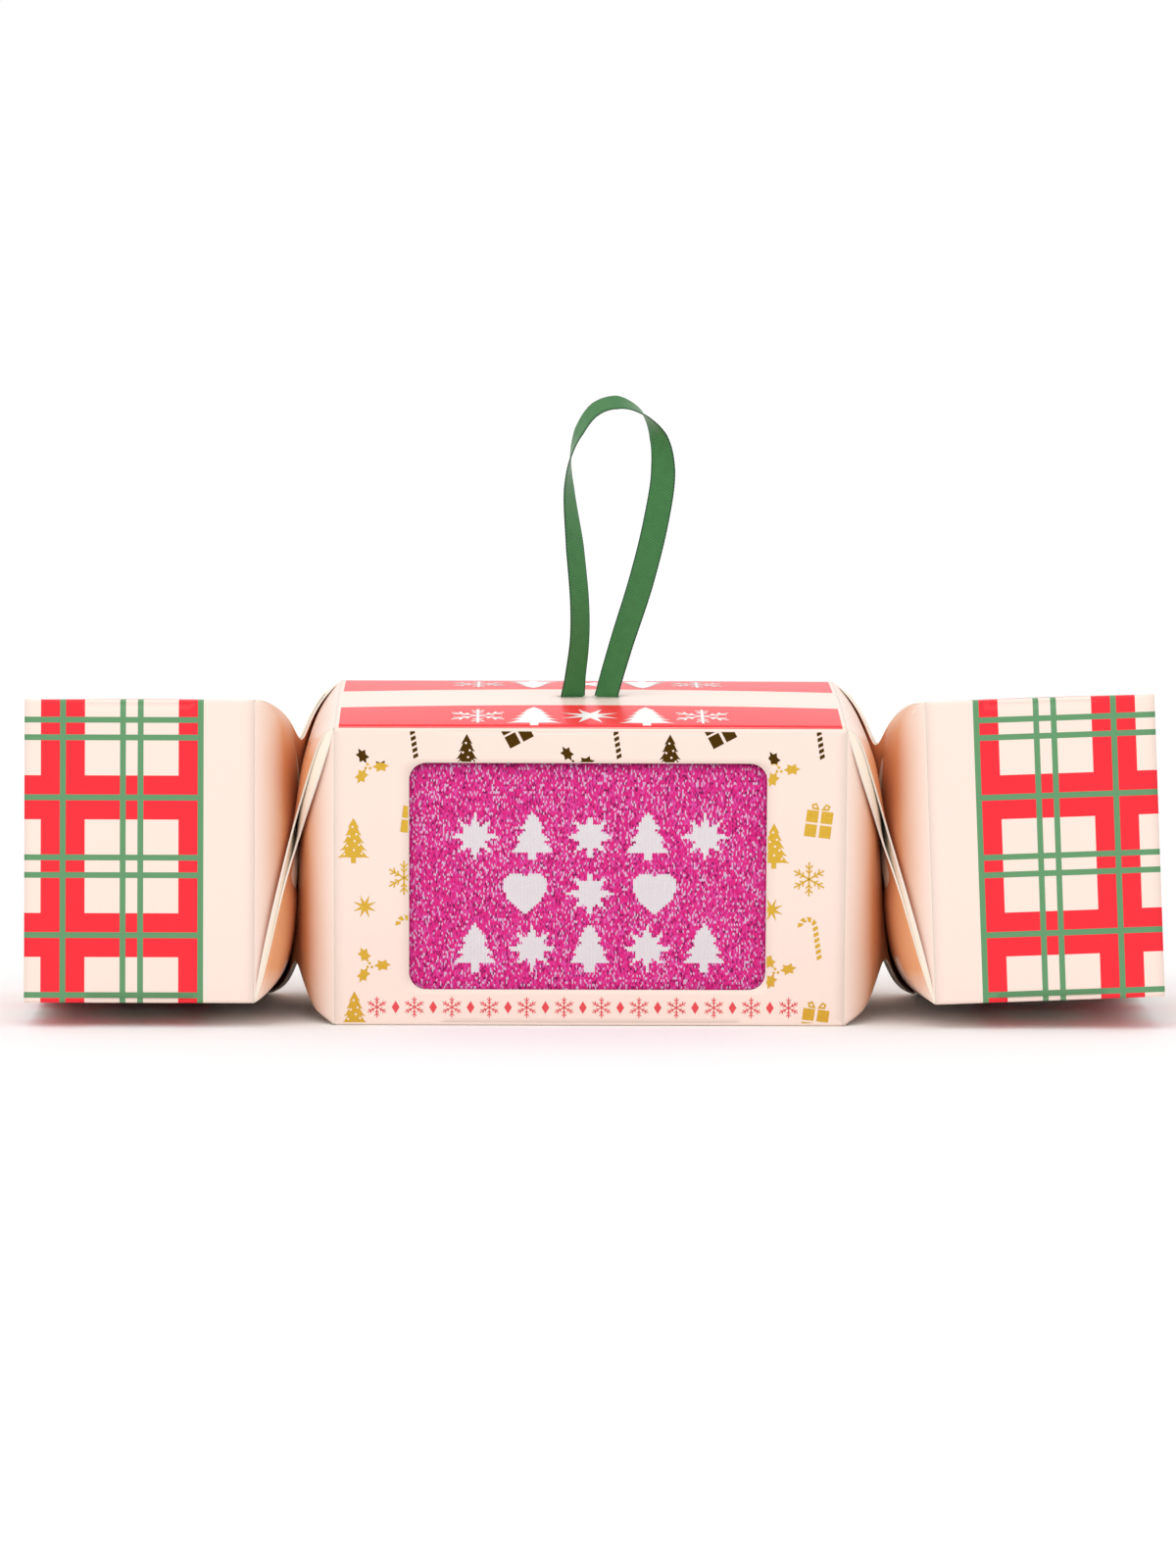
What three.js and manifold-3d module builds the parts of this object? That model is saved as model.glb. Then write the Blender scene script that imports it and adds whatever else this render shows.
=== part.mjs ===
// A cracker-shaped gift carton of folded board, holding a folded pair of knitted socks.
// Millimetres, +Z up. X runs along the carton, -Y is the window side. The floor is z = 0.

import * as THREE from 'three';
import { mergeVertices } from 'three/addons/utils/BufferGeometryUtils.js';
import Module from 'manifold-3d';

const wasm = await Module();
wasm.setup();

// Board and section
const boxSide = 70; // outside of the square tubes
const board = 0.45; // thickness of the printed board
const foldRadius = 0.8; // outside radius of a long crease
const glueFlapWidth = 12;
const glueFlapShort = 4; // the flap stops this far before a tube's open end
const gap = 0.3; // between pieces that lie against each other

// Lengths along the carton
const centreLength = 118;
const endLength = 53;
const leftNeckGap = 18.5;
const rightNeckGap = 19.8;

// How the carton stands: the centre tips forwards and the ends tip back by the same angle
const centreLean = 4.8;
const endLean = 4.8;
const rightEndRise = 2.2; // the right end points slightly upwards

// Twisted necks
const neckFlare = 5.4; // how far a web stands out, along the carton, beside the tube it leaves
const flareStart = 0.08; // share of a web in which it reaches that
const flareFade = 1.1; // how fast the flare dies away towards the other tube
const lensDepth = 15.5; // how deep the die-cut bites into each long edge of a web
const cornerRelief = 1.3; // what a web keeps clear of its neighbour at the tube's corner
const webRows = 14;
const webColumns = 4; // on each side of the diagonal fold

// Window and hanging slots of the centre tube
const windowWidth = 82.5;
const windowHeight = 53.3;
const windowRadius = 4;
const windowUp = 0.2; // middle of the window above the middle of the panel
const windowLeft = 0.5; // middle of the window left of the middle of the panel
const slotLength = 6.8;
const slotDepth = 1.4;
const slotPitch = 8;

// End closures
const tongueLength = 15;
const tongueTaper = 5; // how much narrower the tongue is than the lid, each side
const tongueInset = 2; // how far the tongue's tip leans in from the bottom panel
const tongueCorner = 5;
const tongueChamfer = 1.5; // softens the ends of each cut corner
const dustFlapReach = 30;
const dustFlapFoot = 5; // clear height under a dust flap, for the tongue
const dustFlapHead = 1.5;
const dustFlapSlope = 6;

// Hanging ribbon
const ribbonWidth = 6;
const ribbonThickness = 0.5;
const selvedgeFrom = 0.9; // share of the half width where the selvedge starts to thin
const selvedgeThickness = 0.4; // share of the thickness left at the very edge
const ribbonTail = 2.4; // length below the top panel's outer face
const knotWidth = 13;
const knotDepth = 7;
const knotHeight = 3.2;

// The ribbon's route: across, depth, height above the top panel, turn of its flat side
const ribbonRoute = [
  [-4.0, 0.0, -ribbonTail, 0],
  [-3.9, 0.0, 0.6, 0],
  [-3.3, -0.4, 6.1, 12],
  [-2.3, -1.2, 15.2, 25],
  [-2.3, -1.8, 23.9, 32],
  [-3.5, -1.6, 37.5, 38],
  [-4.9, -0.6, 51.0, 62],
  [-4.6, 0.2, 58.1, 88],
  [-2.6, 0.8, 64.4, 112],
  [1.2, 1.0, 69.6, 128],
  [6.3, 1.0, 71.2, 138],
  [11.7, 0.8, 69.1, 150],
  [15.9, 0.4, 63.2, 164],
  [17.1, 0.2, 55.3, 174],
  [15.6, 0.2, 43.8, 180],
  [12.1, 0.3, 29.0, 184],
  [7.5, 0.3, 14.1, 188],
  [4.4, 0.1, 3.0, 182],
  [4.0, 0.0, 0.6, 180],
  [4.0, 0.0, -ribbonTail, 180],
];
const ribbonSteps = 56;

// Folded socks
const sockWidth = 101;
const sockHeight = 62;
const sockRoom = 3.4; // from the window panel to the front sock
const sockBevel = 6;

// Worked out from the sizes above
const half = boxSide / 2;
const inside = half - board;
const rad = THREE.MathUtils.degToRad;
const sockDepth = (2 * inside - 2 * sockRoom - gap) / 2;

const cardInk = new THREE.MeshStandardMaterial({ color: 0xf6e3da, roughness: 0.45 });
const neckInk = new THREE.MeshStandardMaterial({ color: 0xf0c9b4, roughness: 0.45 });
const lidInk = new THREE.MeshStandardMaterial({ color: 0xe04a55, roughness: 0.45 });
const rawBoard = new THREE.MeshStandardMaterial({ color: 0xf3e9dc, roughness: 0.8 });
const satin = new THREE.MeshStandardMaterial({ color: 0x2d6e3c, roughness: 0.4 });
const knit = new THREE.MeshStandardMaterial({ color: 0xd71478, roughness: 0.9 });

function named(name, geometry, material) {
  const mesh = new THREE.Mesh(geometry, material);
  mesh.name = name;
  return mesh;
}

// A flat outline in (y, z), carried along +X
function extrudeAlongX(shape, length, curveSegments = 3) {
  const geometry = new THREE.ExtrudeGeometry(shape, { depth: length, bevelEnabled: false, curveSegments });
  const yzx = new THREE.Matrix4().makeBasis(
    new THREE.Vector3(0, 1, 0),
    new THREE.Vector3(0, 0, 1),
    new THREE.Vector3(1, 0, 0),
  );
  return geometry.applyMatrix4(yzx);
}

function roundedRectangle(width, height, radius) {
  const [x, y] = [width / 2, height / 2];
  const shape = new THREE.Shape();
  shape.moveTo(-x + radius, -y);
  shape.lineTo(x - radius, -y);
  shape.absarc(x - radius, -y + radius, radius, -Math.PI / 2, 0);
  shape.lineTo(x, y - radius);
  shape.absarc(x - radius, y - radius, radius, 0, Math.PI / 2);
  shape.lineTo(-x + radius, y);
  shape.absarc(-x + radius, y - radius, radius, Math.PI / 2, Math.PI);
  shape.lineTo(-x, -y + radius);
  shape.absarc(-x + radius, -y + radius, radius, Math.PI, 1.5 * Math.PI);
  return shape;
}

function polygon(points) {
  return new THREE.Shape(points.map(([x, y]) => new THREE.Vector2(x, y)));
}

function toSolid(geometry) {
  const bare = new THREE.BufferGeometry();
  const source = geometry.index ? geometry.toNonIndexed() : geometry;
  bare.setAttribute('position', source.getAttribute('position'));
  const merged = mergeVertices(bare, 1e-4);
  const corners = Array.from(merged.index.array);
  const kept = [];
  for (let i = 0; i < corners.length; i += 3) {
    const [a, b, c] = corners.slice(i, i + 3);
    if (a !== b && b !== c && c !== a) kept.push(a, b, c);
  }
  return new wasm.Manifold(
    new wasm.Mesh({
      numProp: 3,
      vertProperties: new Float32Array(merged.getAttribute('position').array),
      triVerts: new Uint32Array(kept),
    }),
  );
}

function fromSolid(solid) {
  const mesh = solid.getMesh();
  const geometry = new THREE.BufferGeometry();
  geometry.setAttribute('position', new THREE.BufferAttribute(mesh.vertProperties, 3));
  geometry.setIndex(new THREE.BufferAttribute(mesh.triVerts, 1));
  geometry.computeVertexNormals();
  return geometry;
}

// The same piece seen in a mirror across x = 0
function mirrored(geometry) {
  const flipped = (geometry.index ? geometry.toNonIndexed() : geometry.clone()).scale(-1, 1, 1);
  const position = flipped.getAttribute('position');
  for (let i = 0; i < position.count; i += 3) {
    const [x, y, z] = [position.getX(i), position.getY(i), position.getZ(i)];
    position.setXYZ(i, position.getX(i + 1), position.getY(i + 1), position.getZ(i + 1));
    position.setXYZ(i + 1, x, y, z);
  }
  flipped.computeVertexNormals();
  return flipped;
}

// A square tube from x = 0 to its length. The panel above z = 0 covers the glue flap at its -y edge.
function tube(length) {
  const outline = roundedRectangle(boxSide, boxSide, foldRadius);
  const flapEdge = -half + board + glueFlapWidth;
  outline.holes.push(
    polygon([
      [-inside, -inside],
      [-inside, inside - board],
      [flapEdge, inside - board],
      [flapEdge, inside],
      [inside, inside],
      [inside, -inside],
    ]),
  );
  return extrudeAlongX(outline, length);
}

function centreSleeve() {
  const windowCutter = new THREE.ExtrudeGeometry(roundedRectangle(windowWidth, windowHeight, windowRadius), {
    depth: 6 * board,
    bevelEnabled: false,
    curveSegments: 6,
  });
  windowCutter.rotateX(Math.PI / 2).translate(-windowLeft, -half + 3 * board, windowUp);
  let solid = toSolid(tube(centreLength).translate(-centreLength / 2, 0, 0)).subtract(toSolid(windowCutter));
  for (const side of [-1, 1]) {
    const slot = new THREE.BoxGeometry(slotLength, slotDepth, 4 * board);
    slot.translate((side * slotPitch) / 2, 0, half - board / 2);
    solid = solid.subtract(toSolid(slot));
  }
  return fromSolid(solid);
}

// An end tube is the same blank turned a quarter turn, so its seam runs along the bottom front edge
function endSleeve() {
  const trim = new THREE.BoxGeometry(2 * glueFlapShort, glueFlapWidth + 2 * board, board);
  trim.translate(endLength, -inside + (glueFlapWidth + 2 * board) / 2, inside - board / 2);
  return fromSolid(toSolid(tube(endLength)).subtract(toSolid(trim))).rotateX(Math.PI / 2);
}

// A lid hangs from the top panel and its tongue goes in along the bottom panel
function lid() {
  const width = 2 * (inside - gap);
  const top = inside - gap;
  const bottom = -inside + gap;
  const plate = new THREE.BoxGeometry(board, width, top - bottom);
  plate.translate(endLength - board / 2, 0, (top + bottom) / 2);
  const tongueHalf = width / 2 - tongueTaper;
  const cut = tongueChamfer;
  // The outline's x runs inwards from the lid, and the tip rises from the bottom panel
  const tongue = new THREE.ExtrudeGeometry(
    polygon([
      [0, -tongueHalf],
      [tongueCorner - tongueLength, -tongueHalf],
      [cut - tongueLength, cut - tongueHalf],
      [-tongueLength, tongueCorner - tongueHalf],
      [-tongueLength, tongueHalf - tongueCorner],
      [cut - tongueLength, tongueHalf - cut],
      [tongueCorner - tongueLength, tongueHalf],
      [0, tongueHalf],
    ]),
    { depth: board, bevelEnabled: false },
  );
  tongue.rotateY(Math.atan(tongueInset / tongueLength)).translate(endLength - board / 2, 0, bottom);
  return fromSolid(toSolid(plate).add(toSolid(tongue)));
}

// A dust flap lies behind the lid, hinged on the front panel (side -1) or the back panel (side 1)
function dustFlap(side) {
  const foot = -inside + dustFlapFoot;
  const head = inside - dustFlapHead;
  const edge = inside - gap;
  const free = edge - dustFlapReach;
  const outline = [
    [edge, foot],
    [edge, head],
    [edge - dustFlapSlope, head],
    [free, head - dustFlapSlope],
    [free, foot + dustFlapSlope],
    [edge - dustFlapSlope, foot],
  ].map(([y, z]) => [side * y, z]);
  return extrudeAlongX(polygon(outline), board).translate(endLength - 2 * board - gap, 0, 0);
}

// A corner of a tube, in the middle of its board, at a place along X. Corners are counted from the
// bottom front one by quarter turns about +X.
function corner(index, lean, x) {
  const middle = half - board / 2;
  const angle = (Math.PI / 2) * index + rad(lean);
  return new THREE.Vector3(x, -middle, -middle).applyAxisAngle(new THREE.Vector3(1, 0, 0), angle);
}

// A web runs from the centre (0) to the end (1). It leaves both tubes in line with them and crosses
// the neck between, so its share of the way round the twist rises slowly, quickly, slowly.
function turned(u) {
  return u * u * (3 - 2 * u);
}

// How far a web stands out along the carton from a straight crossing, on the side of the tube that
// it leaves at u = 0
function flare(u) {
  return neckFlare * (1 - turned(u)) ** flareFade * (1 - Math.exp(-u / flareStart));
}

// The places, 0 to 1, that are evenly spaced on the flat board of a web
function evenPlaces(neckGap) {
  const fine = 200;
  const lengths = [0];
  const along = (u) => neckGap * turned(u) + flare(u) - flare(1 - u);
  const point = (u) => new THREE.Vector2(along(u), boxSide * turned(u));
  for (let i = 1; i <= fine; i += 1) {
    lengths.push(lengths[i - 1] + point(i / fine).distanceTo(point((i - 1) / fine)));
  }
  return Array.from({ length: webRows + 1 }, (_, row) => {
    const wanted = (lengths[fine] * row) / webRows;
    const next = Math.max(1, lengths.findIndex((length) => length >= wanted));
    const share = (wanted - lengths[next - 1]) / (lengths[next] - lengths[next - 1]);
    return (next - 1 + share) / fine;
  });
}

// One web of a neck, middle of the board. s goes across it and u from the centre to the end, both
// 0 to 1. Seen along X it is two flat triangles, folded along the web's diagonal. Along X each
// triangle flares from the tube that it is attached to, and follows the other one at the fold.
function webPoint(web, s, u) {
  const round = turned(u);
  const [centreFrom, centreTo] = web.centre;
  const [endFrom, endTo] = web.end;
  const point = centreFrom.clone();
  let stoodOut;
  if (s >= round) {
    point.addScaledVector(centreTo, s - round).addScaledVector(centreFrom, -s).addScaledVector(endTo, round);
    const toFold = round < 1 ? (1 - s) / (1 - round) : 1;
    stoodOut = flare(u) - flare(1 - u) * toFold ** 2;
  } else {
    point.addScaledVector(endFrom, round - s).addScaledVector(centreFrom, -round).addScaledVector(endTo, s);
    const toFold = s / round;
    stoodOut = flare(u) * toFold ** 2 - flare(1 - u);
  }
  point.x += web.side * stoodOut;
  return point;
}

function webNormal(web, s, u) {
  const [aside, step] = [0.0008, 0.0001];
  const normal = new THREE.Vector3();
  // Either side of the fold counts, so that the offset stays even across it
  for (const [ds, du] of [[aside, 0], [-aside, 0], [0, aside], [0, -aside]]) {
    const s0 = THREE.MathUtils.clamp(s + ds, aside, 1 - aside);
    const u0 = THREE.MathUtils.clamp(u + du, 0, 1 - step);
    const here = webPoint(web, s0, u0);
    const across = webPoint(web, s0 + step, u0).sub(here);
    const along = webPoint(web, s0, u0 + step).sub(here);
    normal.add(across.cross(along).normalize());
  }
  return normal.normalize();
}

// A web as a thin closed plate, with both long edges cut to a lens
function webPlate(web) {
  const columns = 2 * webColumns;
  const outer = [];
  const inner = [];
  for (let row = 0; row <= webRows; row += 1) {
    const flat = row / webRows;
    const u = web.places[row];
    const bite = (cornerRelief + 4 * lensDepth * flat * (1 - flat)) / boxSide;
    const fold = THREE.MathUtils.clamp(turned(u), bite, 1 - bite);
    for (let column = 0; column <= columns; column += 1) {
      const part = column / webColumns;
      const s = part <= 1 ? bite + (fold - bite) * part : fold + (1 - bite - fold) * (part - 1);
      const offset = webNormal(web, s, u).multiplyScalar((web.side * board) / 2);
      outer.push(web.tilted(webPoint(web, s, u).add(offset)));
      inner.push(web.tilted(webPoint(web, s, u).sub(offset)));
    }
  }
  const positions = [];
  const stride = columns + 1;
  // On the left side the web runs towards -x, which turns every face round
  const face = (a, b, c) => {
    const order = web.side > 0 ? [a, b, c] : [a, c, b];
    order.forEach((point) => positions.push(...point.toArray()));
  };
  const quad = (a, b, c, d) => {
    face(a, b, c);
    face(a, c, d);
  };
  for (let row = 0; row < webRows; row += 1) {
    for (let column = 0; column < columns; column += 1) {
      const i = row * stride + column;
      quad(outer[i], outer[i + 1], outer[i + stride + 1], outer[i + stride]);
      quad(inner[i], inner[i + stride], inner[i + stride + 1], inner[i + 1]);
    }
    const [left, right] = [row * stride, row * stride + columns];
    quad(outer[left], outer[left + stride], inner[left + stride], inner[left]);
    quad(outer[right], inner[right], inner[right + stride], outer[right + stride]);
  }
  const last = webRows * stride;
  for (let column = 0; column < columns; column += 1) {
    quad(outer[column], inner[column], inner[column + 1], outer[column + 1]);
    const i = last + column;
    quad(outer[i], outer[i + 1], inner[i + 1], inner[i]);
  }
  const raw = new THREE.BufferGeometry();
  raw.setAttribute('position', new THREE.Float32BufferAttribute(positions, 3));
  return fromSolid(toSolid(raw));
}

// The four webs of the neck on one side, in the carton's own frame
function neckWebs(side, neckGap, endRise) {
  const start = centreLength / 2;
  const centrePoint = (index) => corner(index, centreLean, side * (start + gap));
  // The end has turned a quarter turn about +X, less the spring-back that shows as its lean
  const endPoint = (index) => corner(index + 1, -endLean, side * (start + neckGap - gap));
  // Where the end rises, the neck's sections turn with it little by little
  const tilted = (point) => {
    const share = THREE.MathUtils.smoothstep(Math.abs(point.x), start, start + neckGap);
    const pivot = new THREE.Vector3(point.x, 0, 0);
    return point.sub(pivot).applyAxisAngle(new THREE.Vector3(0, -side, 0), rad(endRise) * share).add(pivot);
  };
  const places = evenPlaces(neckGap - 2 * gap);
  return ['back', 'top', 'front', 'bottom'].map((name, order) => {
    const index = order + 1;
    const web = {
      centre: [centrePoint(index), centrePoint(index + 1)],
      end: [endPoint(index), endPoint(index + 1)],
      side,
      places,
      tilted,
    };
    return { name, geometry: webPlate(web) };
  });
}

function ribbonFrames() {
  const points = ribbonRoute.map(([x, y, z]) => new THREE.Vector3(x, y, z));
  const curve = new THREE.CatmullRomCurve3(points, false, 'centripetal');
  const turns = ribbonRoute.map((entry) => rad(entry[3]));
  return Array.from({ length: ribbonSteps + 1 }, (_, step) => {
    const t = step / ribbonSteps;
    const at = t * (turns.length - 1);
    const index = Math.min(Math.floor(at), turns.length - 2);
    const turn = THREE.MathUtils.lerp(turns[index], turns[index + 1], at - index);
    const tangent = curve.getTangent(t);
    const across = new THREE.Vector3(Math.cos(turn), Math.sin(turn), 0);
    across.addScaledVector(tangent, -across.dot(tangent)).normalize();
    return { centre: curve.getPoint(t), across, facing: new THREE.Vector3().crossVectors(tangent, across) };
  });
}

// A flat ribbon with rounded selvedges, swept along its route with its own turn
function ribbonLoop() {
  const [wide, thick] = [ribbonWidth / 2, ribbonThickness / 2];
  const [flat, thin] = [wide * selvedgeFrom, thick * selvedgeThickness];
  const section = [
    [-wide, -thin],
    [-flat, -thick],
    [flat, -thick],
    [wide, -thin],
    [wide, thin],
    [flat, thick],
    [-flat, thick],
    [-wide, thin],
  ];
  const rings = ribbonFrames().map(({ centre, across, facing }) =>
    section.map(([a, b]) => centre.clone().addScaledVector(across, a).addScaledVector(facing, b)),
  );
  const positions = [];
  const face = (a, b, c) => positions.push(...a.toArray(), ...b.toArray(), ...c.toArray());
  for (let ring = 0; ring < rings.length - 1; ring += 1) {
    for (let i = 0; i < section.length; i += 1) {
      const j = (i + 1) % section.length;
      face(rings[ring][i], rings[ring][j], rings[ring + 1][j]);
      face(rings[ring][i], rings[ring + 1][j], rings[ring + 1][i]);
    }
  }
  const [first, last] = [rings[0], rings[rings.length - 1]];
  for (let i = 1; i < section.length - 1; i += 1) {
    face(first[0], first[i + 1], first[i]);
    face(last[0], last[i], last[i + 1]);
  }
  const raw = new THREE.BufferGeometry();
  raw.setAttribute('position', new THREE.Float32BufferAttribute(positions, 3));
  return fromSolid(toSolid(raw));
}

// The two ribbon tails tied together, lying against the inside of the top panel
function ribbonKnot() {
  const geometry = new THREE.SphereGeometry(0.5, 14, 8).rotateX(Math.PI / 2);
  geometry.scale(knotWidth, knotDepth, knotHeight);
  return fromSolid(toSolid(geometry));
}

// A sock folded to the size of the tube, as a softly rounded slab
function foldedSock() {
  const geometry = new THREE.ExtrudeGeometry(
    roundedRectangle(sockWidth - 2 * sockBevel, sockHeight - 2 * sockBevel, sockBevel),
    {
      depth: sockDepth - 2 * sockBevel,
      bevelEnabled: true,
      bevelThickness: sockBevel,
      bevelSize: sockBevel,
      bevelSegments: 4,
      curveSegments: 4,
    },
  );
  geometry.rotateX(Math.PI / 2);
  return fromSolid(toSolid(geometry));
}

const carton = new THREE.Group();

// The centre tube and all that it holds
const centre = new THREE.Group();
centre.rotation.x = rad(centreLean);
centre.add(named('centre_sleeve', centreSleeve(), cardInk));

const sockRest = -inside + gap + sockHeight / 2;
const frontSock = named('sock_front', foldedSock(), knit);
frontSock.position.set(0, -inside + sockRoom + sockDepth - sockBevel, sockRest);
const backSock = named('sock_back', foldedSock(), knit);
backSock.position.set(0, inside - sockRoom - sockBevel, sockRest);
centre.add(frontSock, backSock);

const knot = named('ribbon_knot', ribbonKnot(), satin);
knot.position.set(0, 0, half - ribbonTail - gap - knotHeight / 2);
centre.add(knot);
const ribbon = named('ribbon_loop', ribbonLoop(), satin);
ribbon.position.set(0, 0, half);
centre.add(ribbon);

carton.add(centre);

const sides = [
  { name: 'left', side: -1, neckGap: leftNeckGap, rise: 0 },
  { name: 'right', side: 1, neckGap: rightNeckGap, rise: rightEndRise },
];

for (const { name, side, neckGap, rise } of sides) {
  for (const web of neckWebs(side, neckGap, rise)) {
    carton.add(named(`${name}_neck_web_${web.name}`, web.geometry, neckInk));
  }
  const facing = (geometry) => (side < 0 ? mirrored(geometry) : geometry);
  const end = new THREE.Group();
  end.position.x = side * (centreLength / 2 + neckGap);
  end.rotation.set(-rad(endLean), -side * rad(rise), 0, 'YXZ');
  end.add(
    named(`${name}_end_sleeve`, facing(endSleeve()), cardInk),
    named(`${name}_end_lid`, facing(lid()), lidInk),
    named(`${name}_dust_flap_front`, facing(dustFlap(-1)), rawBoard),
    named(`${name}_dust_flap_back`, facing(dustFlap(1)), rawBoard),
  );
  carton.add(end);
}

// The carton stands on the floor with its middle over the origin
carton.updateMatrixWorld(true);
const reach = new THREE.Box3();
for (const sleeve of ['centre_sleeve', 'left_end_sleeve', 'right_end_sleeve']) {
  reach.expandByObject(carton.getObjectByName(sleeve), true);
}
carton.position.set(-(reach.min.x + reach.max.x) / 2, 0, -reach.min.z);
carton.updateMatrixWorld(true);

export default carton;
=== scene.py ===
"""A cracker-shaped gift carton of printed board, with a folded pair of glitter socks in its window.

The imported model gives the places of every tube, so each piece here is worked out in the frame of the
tube that carries it and then laid in the carton's frame. Lengths are in millimetres until a mesh is made.
"""
from __future__ import annotations

import logging
import math
from dataclasses import dataclass, field
from enum import Enum

import bmesh
import bpy
import numpy as np
from mathutils import Matrix, Vector
from mathutils.geometry import tessellate_polygon

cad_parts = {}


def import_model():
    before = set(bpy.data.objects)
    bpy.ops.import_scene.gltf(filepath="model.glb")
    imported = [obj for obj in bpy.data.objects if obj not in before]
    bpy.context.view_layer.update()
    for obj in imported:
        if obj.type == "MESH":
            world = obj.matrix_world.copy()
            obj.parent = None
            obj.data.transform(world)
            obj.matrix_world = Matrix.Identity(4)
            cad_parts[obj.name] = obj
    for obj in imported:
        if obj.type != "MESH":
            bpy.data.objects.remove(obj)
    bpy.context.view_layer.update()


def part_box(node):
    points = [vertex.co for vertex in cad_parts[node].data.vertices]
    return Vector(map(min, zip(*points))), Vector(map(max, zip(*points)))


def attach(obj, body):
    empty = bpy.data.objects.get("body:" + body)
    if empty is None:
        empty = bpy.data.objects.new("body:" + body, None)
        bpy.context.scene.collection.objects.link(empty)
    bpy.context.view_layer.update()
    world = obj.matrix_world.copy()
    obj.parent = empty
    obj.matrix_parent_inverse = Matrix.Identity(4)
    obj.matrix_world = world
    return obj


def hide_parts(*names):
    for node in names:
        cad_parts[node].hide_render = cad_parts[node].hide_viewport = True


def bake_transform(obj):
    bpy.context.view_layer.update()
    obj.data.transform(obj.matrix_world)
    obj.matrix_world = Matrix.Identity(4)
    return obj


log = logging.getLogger("cracker")

MM = 0.001

# Sizes of the carton, in millimetres, and its leans, in degrees
BOX_SIDE = 70.0
HALF = BOX_SIDE / 2
BOARD = 0.45
FOLD_RADIUS = 0.8
CENTRE_LENGTH = 118.0
END_LENGTH = 53.0
RIGHT_GAP = 19.8
LEAN = 4.8
RIGHT_RISE = 2.2

# The point that the camera looks at, from the middle of the centre tube
LOOKS_AT = (-0.09, 0.0, 15.69)

# How far the top panel of the centre bows out at its ends, where the necks' webs follow it
TOP_END_BOW = 1.0

# Points closer than this become one, and an edge that turns by more degrees than this is a crease
WELD = 0.01
CREASE_TURN = 40.0

# The least length or share that something is divided by
TINY = 1e-6


def turn_x(degrees: float) -> np.ndarray:
    """The matrix of a turn about X."""
    c, s = math.cos(math.radians(degrees)), math.sin(math.radians(degrees))
    return np.array([[1, 0, 0], [0, c, -s], [0, s, c]])


def turn_y(degrees: float) -> np.ndarray:
    """The matrix of a turn about Y."""
    c, s = math.cos(math.radians(degrees)), math.sin(math.radians(degrees))
    return np.array([[c, 0, s], [0, 1, 0], [-s, 0, c]])


def turn_flat(degrees: float, scale: float = 1.0) -> np.ndarray:
    """The matrix that turns and scales rows of points in a plane."""
    c, s = math.cos(math.radians(degrees)), math.sin(math.radians(degrees))
    return np.array([[c, s], [-s, c]]) * scale


def smooth(share: np.ndarray) -> np.ndarray:
    """A share that starts and ends gently: three times its square less twice its cube."""
    return share * share * (3 - 2 * share)


def box_mm(node: str) -> np.ndarray:
    """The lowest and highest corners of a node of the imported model, in millimetres."""
    return np.array(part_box(node)) / MM


@dataclass(frozen=True)
class Placement:
    """Where a tube lies: the point of its axis that its own frame starts from, and its turn."""

    origin: np.ndarray
    turn: np.ndarray

    @classmethod
    def upright(cls, origin: object = (0.0, 0.0, 0.0)) -> "Placement":
        """An unturned place."""
        return cls(np.array(origin, float), np.eye(3))

    def world(self, points: np.ndarray) -> np.ndarray:
        """Points of the tube's own frame, in millimetres, as metres in the carton's frame."""
        return (np.asarray(points, float) @ self.turn.T + self.origin) * MM


@dataclass
class Patch:
    """A stretch of surface before it becomes part of a mesh.

    Points are in millimetres, and uv holds the place of each on the flat board, also in millimetres.
    """

    points: np.ndarray
    uv: np.ndarray
    faces: list
    finish: int = 0

    def moved(self, points: np.ndarray) -> "Patch":
        """The same patch with its points elsewhere."""
        return Patch(points, self.uv, self.faces, self.finish)


def grid_faces(rows: int, columns: int, keep: np.ndarray | None = None) -> list:
    """The quads of a grid. A face looks along (next column) x (next row).

    Args:
        rows: Number of rows of points.
        columns: Number of points in a row.
        keep: One truth value a cell, False where the grid has a hole.

    Returns:
        The corner numbers of each quad.
    """
    cells = np.arange((rows - 1) * (columns - 1)).reshape(rows - 1, columns - 1)
    first = cells // (columns - 1) * columns + cells % (columns - 1)
    quads = np.stack([first, first + 1, first + columns + 1, first + columns], -1)
    chosen = quads.reshape(-1, 4) if keep is None else quads[keep]
    return chosen.tolist()


def grid_patch(points: np.ndarray, uv: np.ndarray, keep: np.ndarray | None = None, finish: int = 0) -> Patch:
    """A patch from a grid of points (rows, columns, 3) and its grid of uv (rows, columns, 2)."""
    rows, columns = points.shape[:2]
    return Patch(points.reshape(-1, 3), uv.reshape(-1, 2), grid_faces(rows, columns, keep), finish)


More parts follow.
